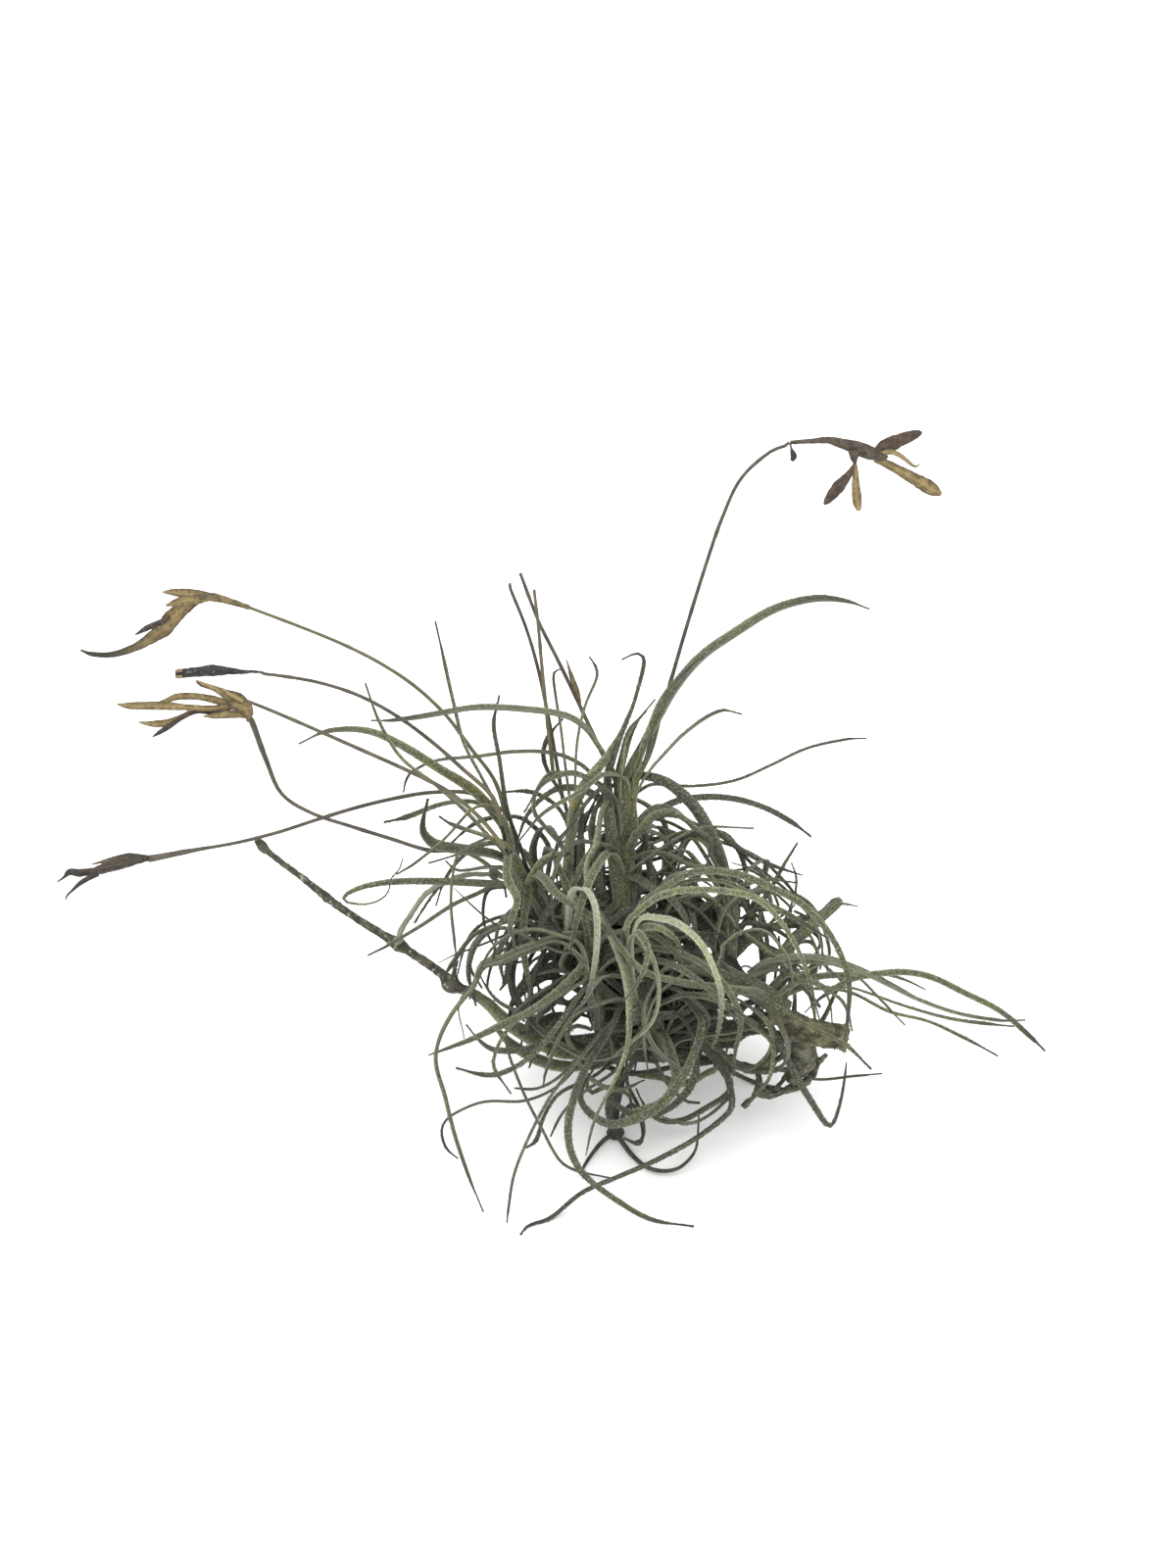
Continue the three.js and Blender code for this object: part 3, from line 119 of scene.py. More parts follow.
# Each leafy stem: its colour, its radius and its line from the base up.
SHOOTS = {
    "shoot_upright": ("leaf", 2.0, [(1, -8, 2), (0, 4, 4), (-0.8, 16, 4), (0, 29, 4)]),
    "shoot_upright_left": ("leaf", 1.5, [
        (-9, -6, 4), (-11.4, 3, 6), (-11.4, 13, 6), (-9, 23, 5), (-5.4, 31, 3)]),
    "shoot_left": ("leaf", 2.2, [
        (-14, -2, -2), (-16, 5, 0), (-20, 12, 2), (-22.6, 16, 4), (-24, 21, 4)]),
    # The front shoot takes the pale leaf colour, which is scurf and painted light.
    "shoot_front": ("pale_leaf", 2.2, [(2, -16, 14), (0, -8, 20), (-1, 2.4, 30)]),
    "shoot_low_left": ("leaf", 2.0, [(-6, -18, 8), (-7, -8, 12), (-8, 0, 14)]),
    "shoot_low": ("leaf", 2.0, [(8, -24, 1), (6, -18, 4), (3, -11, 8)]),
    "shoot_low_right": ("leaf", 1.9, [(12, -17, 1), (17, -22, -2), (22, -27, -6)]),
    "shoot_right": ("leaf", 2.6, [
        (32, -13.9, 6), (28, -11, 8), (22, -8, 9), (16, -5, 10), (10, -3, 10)]),
    "shoot_right_upper": ("leaf", 1.3, [
        (25, -8, -1), (29, -5, -2), (36, 1.6, -4), (43.6, 8.6, -6)]),
    "shoot_right_middle": ("leaf", 1.0, [
        (21, -4, -10), (25, 0, -10), (32, 3.6, -11), (38, 5, -12), (43, 7, -13)]),
    "shoot_inner_right": ("leaf", 1.5, [(20.5, -9, 2), (21, -2, 0), (21.6, 8, -1)]),
    # The back and core shoots take the dark leaf colour, which is painted shade.
    "shoot_back": ("dark_leaf", 1.9, [(6, -2, -12), (8, 8, -16), (9, 16, -20)]),
    "shoot_back_left": ("dark_leaf", 1.8, [(-10, -6, -14), (-14, 2, -20), (-18, 9, -24)]),
    "shoot_back_right": ("dark_leaf", 1.8, [(16, -8, -14), (20, -2, -21), (24, 3, -27)]),
    "shoot_back_low": ("dark_leaf", 1.8, [(0, -17, -11), (0, -19, -20), (2, -20, -28)]),
    "shoot_core": ("dark_leaf", 1.6, [(-5, -14, -4), (-3, -6, -7), (-2, 3, -10)]),
}

STALKS = ("stalk_tall", "stalk_left_upper", "stalk_left_dark", "stalk_left_bud", "stalk_left_lower",
          "stalk_left_long", "stalk_young_left", "stalk_young_middle", "stalk_young_right")


# ------------------------------------------------------------------ sizes and colours

class AirPlantSizes(bpy.types.PropertyGroup):
    """Sizes of the fine pieces."""
    blade_step: FloatProperty(
        name="Blade step", description="Distance between the rings of a leaf",
        default=1.2 * MM, min=0.4 * MM, unit="LENGTH")
    blade_girth: FloatProperty(
        name="Blade girth", description="Half width of a leaf as a share of its solid's radius",
        default=0.74, min=0.3, max=2, subtype="FACTOR")
    thread_radius: FloatProperty(
        name="Tip radius", description="Half width of the thread that a leaf ends in",
        default=0.23 * MM, unit="LENGTH")
    blade_twist: FloatProperty(
        name="Blade twist", description="Most that a leaf turns about its own line",
        default=math.radians(50), subtype="ANGLE")
    sheath_length: FloatProperty(
        name="Sheath length", description="Stretch of the stem that a leaf clasps",
        default=13 * MM, unit="LENGTH")
    seed: IntProperty(name="Seed", description="Start of the random draws", default=SEED)


def srgb(red, green, blue):
    """A colour as seen, in the linear numbers that the shaders take."""
    def linear(level):
        share = level / 255
        return share / 12.92 if share <= 0.04045 else ((share + 0.055) / 1.055) ** 2.4
    return (linear(red), linear(green), linear(blue))


def colour_property(name, description, rgb):
    return FloatVectorProperty(
        name=name, description=description, subtype="COLOR", size=3, min=0, max=1,
        default=srgb(*rgb))


class AirPlantColours(bpy.types.PropertyGroup):
    """Colours of the finishes."""
    leaf: colour_property("Leaf", "Grey green of the leaves", (78, 83, 59))
    # Silvery scurf and painted light: the leaves that face the light take this paler colour.
    pale_leaf: colour_property("Pale leaf", "Leaves that face the light", (124, 129, 99))
    # Painted shade: the leaves at the back and deep in the clump take this darker colour.
    dark_leaf: colour_property("Dark leaf", "Leaves deep in the clump", (47, 52, 44))
    scurf: colour_property("Scurf", "Silvery scales on the leaves", (150, 153, 134))
    sheath: colour_property("Sheath", "Leaf bases round the stems", (90, 88, 71))
    thread: colour_property("Thread", "Dry leaf tips", (47, 42, 37))
    stalk: colour_property("Stalk", "Flower stalks", (70, 64, 54))
    straw: colour_property("Straw", "Inside of the split capsules", (116, 101, 65))
    capsule: colour_property("Capsule", "Outside of the capsules", (58, 43, 30))
    neck: colour_property("Capsule neck", "Where a capsule narrows to its stalk", (58, 50, 38))
    closed_capsule: colour_property("Closed capsule", "The capsule that hasn't split", (24, 27, 28))
    twig: colour_property("Twig", "Lichen grey of the twig", (76, 74, 62))
    bark: colour_property("Bark", "Old stem with its cut end", (84, 81, 60))
    root: colour_property("Root", "Wiry roots", (56, 55, 45))
    floor: colour_property("Floor", "The surface it lies on", (250, 250, 249))


def sizes():
    return bpy.context.scene.air_plant_sizes


def colours():
    return bpy.context.scene.air_plant_colours


# ------------------------------------------------------------------ lines read off the part

WELD = 2e-6             # corners of loose triangles this near each other are one
CAP_EDGES = 6           # a corner in a strand's skin has this many edges, one at its end fewer
CAP_WIDTH = 2 * MM      # more than a strand's end is wide


def merged_copy(node):
    """The node's mesh with its loose triangles joined."""
    copy = bmesh.new()
    copy.from_mesh(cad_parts[node].data)
    bmesh.ops.remove_doubles(copy, verts=copy.verts, dist=WELD)
    copy.verts.index_update()
    return copy


def centre_of(ring):
    return sum((vert.co for vert in ring), Vector()) / len(ring)


def radius_of(ring):
    centre = centre_of(ring)
    return sum((vert.co - centre).length for vert in ring) / len(ring)


def neighbours(vert):
    return [edge.other_vert(vert) for edge in vert.link_edges]


def walk(first, passed):
    """Rings of corners from an end of a strand on, while each is whole."""
    rings = [first]
    while True:
        following = {other for vert in rings[-1] for other in neighbours(vert)} - passed
        whole = len(following) == len(first)
        if not whole or any(len(following & set(neighbours(vert))) < 2 for vert in following):
            return rings
        passed |= following
        rings.append(sorted(following, key=lambda vert: vert.index))


POINT_LENGTH = 1.8      # a point is longer than this many of its ring's radii
FALSE_RING = 1.9        # a last ring that is wider than this many times the one before isn't one
SHORTEST_STRAND = 3 * MM


def pointed_strands(node, corners):
    """Each pointed strand of a node as (centre, radius) pairs from its tip on."""
    copy = merged_copy(node)
    found = []
    for vert in copy.verts:
        ring = neighbours(vert)
        if len(ring) != corners:
            continue
        length = (vert.co - centre_of(ring)).length
        if length < POINT_LENGTH * radius_of(ring):
            continue
        rings = walk(ring, {vert, *ring})
        line = [(vert.co.copy(), 0.0)] + [(centre_of(each), radius_of(each)) for each in rings]
        if len(line) > 2 and line[-1][1] > FALSE_RING * line[-2][1]:
            line.pop()
        if sum((a[0] - b[0]).length for a, b in zip(line, line[1:])) > SHORTEST_STRAND:
            found.append(line)
    copy.free()
    return sorted(found, key=lambda line: tuple(line[0][0]))


def whole_strand(node):
    """A strand that is a node of its own and flat at both ends, from its lower end on."""
    copy = merged_copy(node)
    ends = [vert for vert in copy.verts if len(vert.link_edges) < CAP_EDGES]
    low = min(ends, key=lambda vert: vert.co.z + abs(vert.co.x))
    cap = [vert for vert in ends if (vert.co - low.co).length < CAP_WIDTH]
    rings = walk(cap, set(cap))
    line = [(centre_of(ring), radius_of(ring)) for ring in rings]
    if line[-1][1] > FALSE_RING * line[-2][1]:
        line.pop()
    walked = (line[-1][0] - low.co).length
    other_end = [vert for vert in ends if (vert.co - low.co).length > walked]
    if other_end:
        line.append((centre_of(other_end), line[-1][1]))
    copy.free()
    return line


# ------------------------------------------------------------------ smooth lines

CURVE_CUTS = 12         # between two given points, before the line is cut evenly
FEWEST_STEPS = 4        # in a whole line


def between(low, high, share):
    return low + (high - low) * share


def smooth(points, step):
    """Points evenly along a soft curve through the given ones."""
    fine = []
    for i in range(len(points) - 1):
        here, there = points[i], points[i + 1]
        before = points[i - 1] if i else here
        after = points[i + 2] if i + 2 < len(points) else there
        reach = (there - here).length
        leave = (there - before).normalized() * reach / 3
        arrive = (after - here).normalized() * reach / 3
        fine += interpolate_bezier(here, here + leave, there - arrive, there, CURVE_CUTS)[:-1]
    fine.append(points[-1])
    return evenly(fine, step)


def evenly(fine, step):
    lengths = [0.0]
    for a, b in zip(fine, fine[1:]):
        lengths.append(lengths[-1] + (b - a).length)
    count = max(FEWEST_STEPS, round(lengths[-1] / step))
    found, i = [], 0
    for k in range(count + 1):
        target = lengths[-1] * k / count
        while i < len(fine) - 2 and lengths[i + 1] < target:
            i += 1
        span = lengths[i + 1] - lengths[i]
        share = (target - lengths[i]) / span if span > 0 else 0
        found.append(fine[i].lerp(fine[i + 1], min(1, max(0, share))))
    return found


def nearest_on(line, point):
    """The nearest place on a line of points: its index as a fraction, and the point."""
    best = (1e9, 0, line[0])
    for i in range(len(line) - 1):
        near, share = intersect_point_line(point, line[i], line[i + 1])
        share = min(1, max(0, share))
        near = line[i].lerp(line[i + 1], share)
        best = min(best, ((near - point).length, i + share, near), key=lambda entry: entry[0])
    return best[1], best[2]


def at(line, index):
    i = min(len(line) - 2, max(0, int(index)))
    return line[i].lerp(line[i + 1], index - i)


def value_near(line, values, point):
    """A value given at each point of a line, read at the place nearest to another point."""
    index, _ = nearest_on(line, point)
    i = min(len(line) - 2, int(index))
    return between(values[i], values[i + 1], index - i)


def along_line(line, i):
    after = line[min(len(line) - 1, i + 1)]
    before = line[max(0, i - 1)]
    return (after - before).normalized()


def square_to(axis, way):
    """What is left of a way when its part along an axis is taken off."""
    return way - axis * way.dot(axis)


# ------------------------------------------------------------------ meshes

SEAM = 1e-7                     # corners nearer than this are one
SHARP_EDGE = math.radians(55)   # edges that turn further than this stay sharp


def select_only(piece):
    bpy.ops.object.select_all(action="DESELECT")
    piece.select_set(True)
    bpy.context.view_layer.objects.active = piece


def settle(piece):
    """Closes the seams, turns the faces outwards and smooths all but the sharp edges."""
    select_only(piece)
    bpy.ops.object.mode_set(mode="EDIT")
    bpy.ops.mesh.select_all(action="SELECT")
    bpy.ops.mesh.remove_doubles(threshold=SEAM)
    bpy.ops.mesh.normals_make_consistent(inside=False)
    bpy.ops.object.mode_set(mode="OBJECT")
    bpy.ops.object.shade_smooth_by_angle(angle=SHARP_EDGE)


def joined(piece, others):
    select_only(piece)
    for other in others:
        other.select_set(True)
    bpy.ops.object.join()
    return piece


def fit(piece, slot, *nodes):
    """Rests a finished piece on the floor and sets it on its body in the place of its CAD nodes."""
    for vert in piece.data.vertices:
        vert.co.z = max(0, vert.co.z)
    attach(piece, BODY)
    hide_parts(*nodes)
    return piece


def mark(piece, strands, tones, span):
    """Gives each vertex how far along its strand it is, and the strand's tone."""
    along, tone = [], []
    for vert in piece.data.vertices:
        best = (1e9, 0, 0)
        for number, (line, _) in enumerate(strands):
            index, near = nearest_on(line, vert.co)
            best = min(best, ((near - vert.co).length, number, index / (len(line) - 1)))
        along.append(between(*span, best[2]))
        tone.append(tones[best[1]])
    write_attribute(piece.data, "along", along)
    write_attribute(piece.data, "tone", tone)


def write_attribute(mesh, name, values):
    mesh.attributes.new(name, "FLOAT", "POINT").data.foreach_set("value", values)


def tubes(name, strands, sides, finish, rough=0.0, grain=1.2 * MM, tones=None, along=(0, 1)):
    """Round strands, each a line and its radii, as bevelled curves made one mesh."""
    bpy.ops.object.select_all(action="DESELECT")
    bpy.ops.curve.primitive_nurbs_path_add(location=(0, 0, 0))
    piece = bpy.context.active_object
    piece.name = name
    curve = piece.data
    curve.splines.clear()
    for line, radii in strands:
        spline = curve.splines.new("POLY")
        spline.points.add(len(line) - 1)
        for point, spot, radius in zip(spline.points, line, radii):
            point.co = (*spot, 1)
            point.radius = radius / MM
    curve.bevel_depth = MM
    curve.bevel_resolution = (sides - 4) // 2
    curve.use_fill_caps = True
    bpy.ops.object.convert(target="MESH")
    if tones:
        mark(piece, strands, tones, along)
    piece.data.materials.append(finish)
    settle(piece)
    if rough:
        cloud = bpy.data.textures.new(f"{name}_grain", "CLOUDS")
        cloud.noise_scale = grain
        bpy.ops.object.modifier_add(type="DISPLACE")
        modifier = piece.modifiers[-1]
        modifier.texture = cloud
        modifier.strength = rough
        bpy.ops.object.modifier_apply(modifier=modifier.name)
    return piece


# A blade's section changes from a clasping sheath to an open channel to a round thread, which
# no bevelled curve follows, so blades and valves are lofted ring by ring.

# Corners of the section from edge to edge under the blade, then back over it, as shares of
# its half width.
UNDER = (-1, -0.78, -0.42, 0, 0.42, 0.78, 1)
OVER = (0.6, 0, -0.6)
SECTION = len(UNDER) + len(OVER)
EDGE = [abs(u) for u in UNDER + OVER]
HAIR_SPREAD = 0.87      # makes the root of a hair an even triangle


class Surface:
    """Corners and faces as they are lofted, with what their finish reads."""

    def __init__(self):
        self.verts, self.along, self.tone, self.edge = [], [], [], []
        self.faces, self.finish = [], []

    def ring(self, corners, along, tone, edge):
        first = len(self.verts)
        self.verts += corners
        self.along += [along] * len(corners)
        self.tone += [tone] * len(corners)
        self.edge += edge
        return first

    def skin(self, rings, finish_of):
        for a, b in zip(rings, rings[1:]):
            for k in range(SECTION):
                n = (k + 1) % SECTION
                self.faces.append((a + k, a + n, b + n, b + k))
                self.finish.append(finish_of(k))
        self.faces.append(tuple(rings[0] + k for k in reversed(range(SECTION))))
        self.faces.append(tuple(rings[-1] + k for k in range(SECTION)))
        self.finish += [finish_of(0)] * 2

    def hair(self, root, tip, girth, along, tone, finish):
        """A scurf scale that stands off an edge: a closed spike of four faces."""
        axis = (tip - root).normalized()
        side = axis.orthogonal() * girth
        other = axis.cross(side) * HAIR_SPREAD
        corners = [root + side, root - side / 2 + other, root - side / 2 - other, tip]
        first = self.ring(corners, along, tone, [1.0] * 4)
        self.faces += [(first, first + 2, first + 1)]
        self.faces += [(first + k, first + (k + 1) % 3, first + 3) for k in range(3)]
        self.finish += [finish] * 4

    def piece(self, name, materials):
        mesh = bpy.data.meshes.new(name)
        mesh.from_pydata(self.verts, [], self.faces)
        write_attribute(mesh, "along", self.along)
        write_attribute(mesh, "tone", self.tone)
        write_attribute(mesh, "edge", self.edge)
        mesh.polygons.foreach_set("material_index", self.finish)
        for material in materials:
            mesh.materials.append(material)
        mesh.update()
        piece = bpy.data.objects.new(name, mesh)
        bpy.context.collection.objects.link(piece)
        settle(piece)
        return piece


THIN = 0.35 * MM        # a blade of this half width is round
WIDE = 0.8 * MM         # and one of this half width is an open channel
FLESH = 0.6 * MM        # thickest that a blade gets
ROUND_KEEL = 0.15       # how much deeper a round blade sags than a channel,
ROUND_FLESH = 1.1       # and how much thicker it is, as shares of its half width


def loft_blade(surface, line, halves, face, tones, twist=0.0, keel=0.8, flesh=0.5,
               finish_of=lambda k: 0):
    """Lofts a blade along a line and gives its edges; its channel opens to face at the root."""
    rings, edges = [], []
    last = len(line) - 1
    for i, point in enumerate(line):
        heading = along_line(line, i)
        face = square_to(heading, face).normalized()
        side = heading.cross(face)
        turn = twist * (i / last) ** 2
        up = face * math.cos(turn) + side * math.sin(turn)
        out = side * math.cos(turn) - face * math.sin(turn)
        half = halves[i]
        roundness = min(1, max(0, (WIDE - half) / (WIDE - THIN)))
        sag = half * (keel + ROUND_KEEL * roundness)
        thick = min(FLESH, half * (flesh + ROUND_FLESH * roundness))
        middle = point + up * sag * 0.5
        corners = [
            middle + out * (u * half) - up * (depth * (1 - u * u))
            for shares, depth in ((UNDER, sag), (OVER, sag - thick)) for u in shares]
        rings.append(surface.ring(corners, i / last, tones[i], EDGE))
        edges.append((corners[0], corners[len(UNDER) - 1], -out, up, heading))
    surface.skin(rings, finish_of)
    return edges


# ------------------------------------------------------------------ leafy stems

WANDER = 0.35 * MM          # how far a leaf strays from its line,
WANDER_GRAIN = 70           # and how often in a metre
STRAY_SHIFTS = (0, 17.3, 31.7)      # where the noise for each direction is read
UNEVEN = 0.06               # share by which its width comes and goes,
UNEVEN_GRAIN = 420          # and how often in a metre
FLUSH = 0.2 * MM            # a leaf that starts this near its stem's line has a way of its own
LOWEST_BEND = 2 * MM        # a leaf leaves its sheath at least this far below where it shows
LAYERS = (0.3 * MM, 0.9 * MM)   # how far the mouth of a sheath stands off, as they overlap
SHEATH_STEP = 1.2 * MM
SHEATH_IN = 0.5             # how far out a sheath's middle starts, as a share of the stem's radius
SHEATH_WIDE = 0.56          # its half width there
SHEATH_MOUTH = 1.08         # and where its leaf begins, as a share of the leaf's
HANGING = -0.25             # a leaf that starts further back down than this has no sheath,
HANGING_IN = 0.2            # and starts this far out, as a share of the stem's radius
SOLID_TAPER = 0.85          # how much of its width a leaf's solid loses along its length,
TAPER = 0.66                # and the leaf itself, which stays wide for longer
INNER_SIZES = (0.6, 1.0)    # of the leaves between the traced ones
INNER_TURNS = (0.5, 5.8)    # how far they are turned about the stem
INNER_SLIDE = 8             # most steps that they are moved along it
INNER_WIDER = 1.15
INNER_TRIES = 12
INNER_EACH = 2
HEART = (-3, -6)            # the dense middle of the clump, as seen,
HEART_REACH = (27, 21)      # how far it goes across and up,
HEART_DEPTHS = (-30, 14)    # and from back to front
TIP_TAPER = 0.9             # share of a leaf where its tip starts to thin

# Leaves that stand out, by where their tips are: their tone, where 0 is dark and 1 is
# silvery, and how much wider they are than the others.
# A tone is partly the leaf's own scurf and partly painted shade and light: low where a leaf lies in
# shade, high where it faces the light.
TIP_TONES = (
    ((-21.8, -59.8), 0.05, 1.0),
    ((-9.7, 34.2), 0.45, 1.5),
    ((17.2, -22.0), 0.95, 0.78),
    ((-3.0, -24.0), 0.8, 1.0),
    ((44.4, -20.0), 0.4, 0.88),
    ((41.0, 0.6), 0.6, 1.0),
    ((39.2, -16.4), 0.7, 0.84),
    ((-1.0, -12.6), 0.5, 0.9),
    ((49.4, 67.8), 0.4, 1.0),
    ((48.8, 41.4), 0.1, 1.0),
    ((-13.0, 45.4), 0.1, 1.0),
    ((-1.2, 57.2), 0.1, 1.0),
    ((25.0, 5.0), 0.35, 1.2),
    ((37.4, 21.2), 0.12, 1.2),
    ((-18.6, -13.0), 0.35, 1.4),
    ((-40.8, 29.0), 0.3, 1.7),
    ((-53.6, 52.4), 0.6, 1.2),
)
TIP_NEAR = 1.0
FRINGE_FROM = 6             # the first ring of a blade with scales on its edges
FRINGE_EACH = 2             # scales on each edge between two rings
HAIR_LENGTH = (0.2 * MM, 0.42 * MM)
HAIR_GIRTH = 0.07 * MM
HAIR_ROOT = 0.05 * MM        # how deep a hair starts in its leaf
TONES = {"leaf": (0.25, 0.65), "pale_leaf": (0.65, 0.9), "dark_leaf": (0.05, 0.35)}
# Painted shade: the leaves between the traced ones, deep in the clump, get the darkest tones.
INNER_SHADED_TONES = (0.0, 0.2)
# Tone ranges of some shoots, partly painted shade and light: the low shoots darker, those on the
# right lighter.
SHOOT_TONES = {
    "shoot_low": (0.1, 0.4),
    "shoot_low_left": (0.05, 0.4),
    "shoot_low_right": (0.1, 0.4),
    "shoot_left": (0.15, 0.7),
    "shoot_right": (0.3, 0.6),
    "shoot_right_upper": (0.3, 0.55),
    "shoot_right_middle": (0.3, 0.55),
}
# How much wider or narrower the leaves of some shoots are than their solids tell.
SHOOT_WIDTHS = {
    "shoot_left": 1.14,
    "shoot_right_upper": 0.72,
    "shoot_right_middle": 0.75,
    "shoot_back_right": 0.8,
}
# Stems that show between their leaves: the share of their radius, how much they taper, their tone.
BARE_STEMS = {
    "shoot_right_upper": (0.98, 0.0, 0.68),
    "shoot_right_middle": (0.85, 0.3, 0.62),
    "shoot_inner_right": (1.0, 0.3, 0.6),
    "shoot_right": (0.85, 0.3, 0.5),
}
CLAD_STEM = (0.52, 0.8, 0.0)    # the same for a stem that its sheaths hide

# Spots where the viewer sees through the clump, as (across, up, radius): no leaf crosses them.
CLEARINGS = (
    (26, -22.2, 2.8), (-9, -18.2, 2.3), (-13.6, -14, 1.0), (41.4, -7.2, 2.0), (-26, 8, 2.2),
    (1.8, 19.6, 1.1), (14.4, 18.4, 1.9), (5.4, -30.6, 2.0), (-0.8, -33.4, 1.4), (1.6, -39.2, 1.4),
    (17.2, -30.4, 2.6), (-27.4, -7, 1.7), (-11.4, -4.8, 1.2), (21.8, -1.6, 0.8),
)
CLEARING_BLEND = 1.5        # how far along a leaf it gives way, in radii

# Leaves whose solids are redrawn below, by where their tips are.
REDRAWN = (
    (-8.6, -11.8), (-8.4, -44.0), (21.9, 12.2), (35.6, 13.6), (44.8, -24.6), (-40.6, -23.4),
    (-45.8, 17.0), (18.0, 28.0), (20.0, 1.0), (22.9, 3.4), (36.9, -0.5), (37.4, -10.6),
    (29.5, -8.9), (31.0, -4.9),
)
SHORT_SHEATH = 2.5 * MM     # on a stem that shows

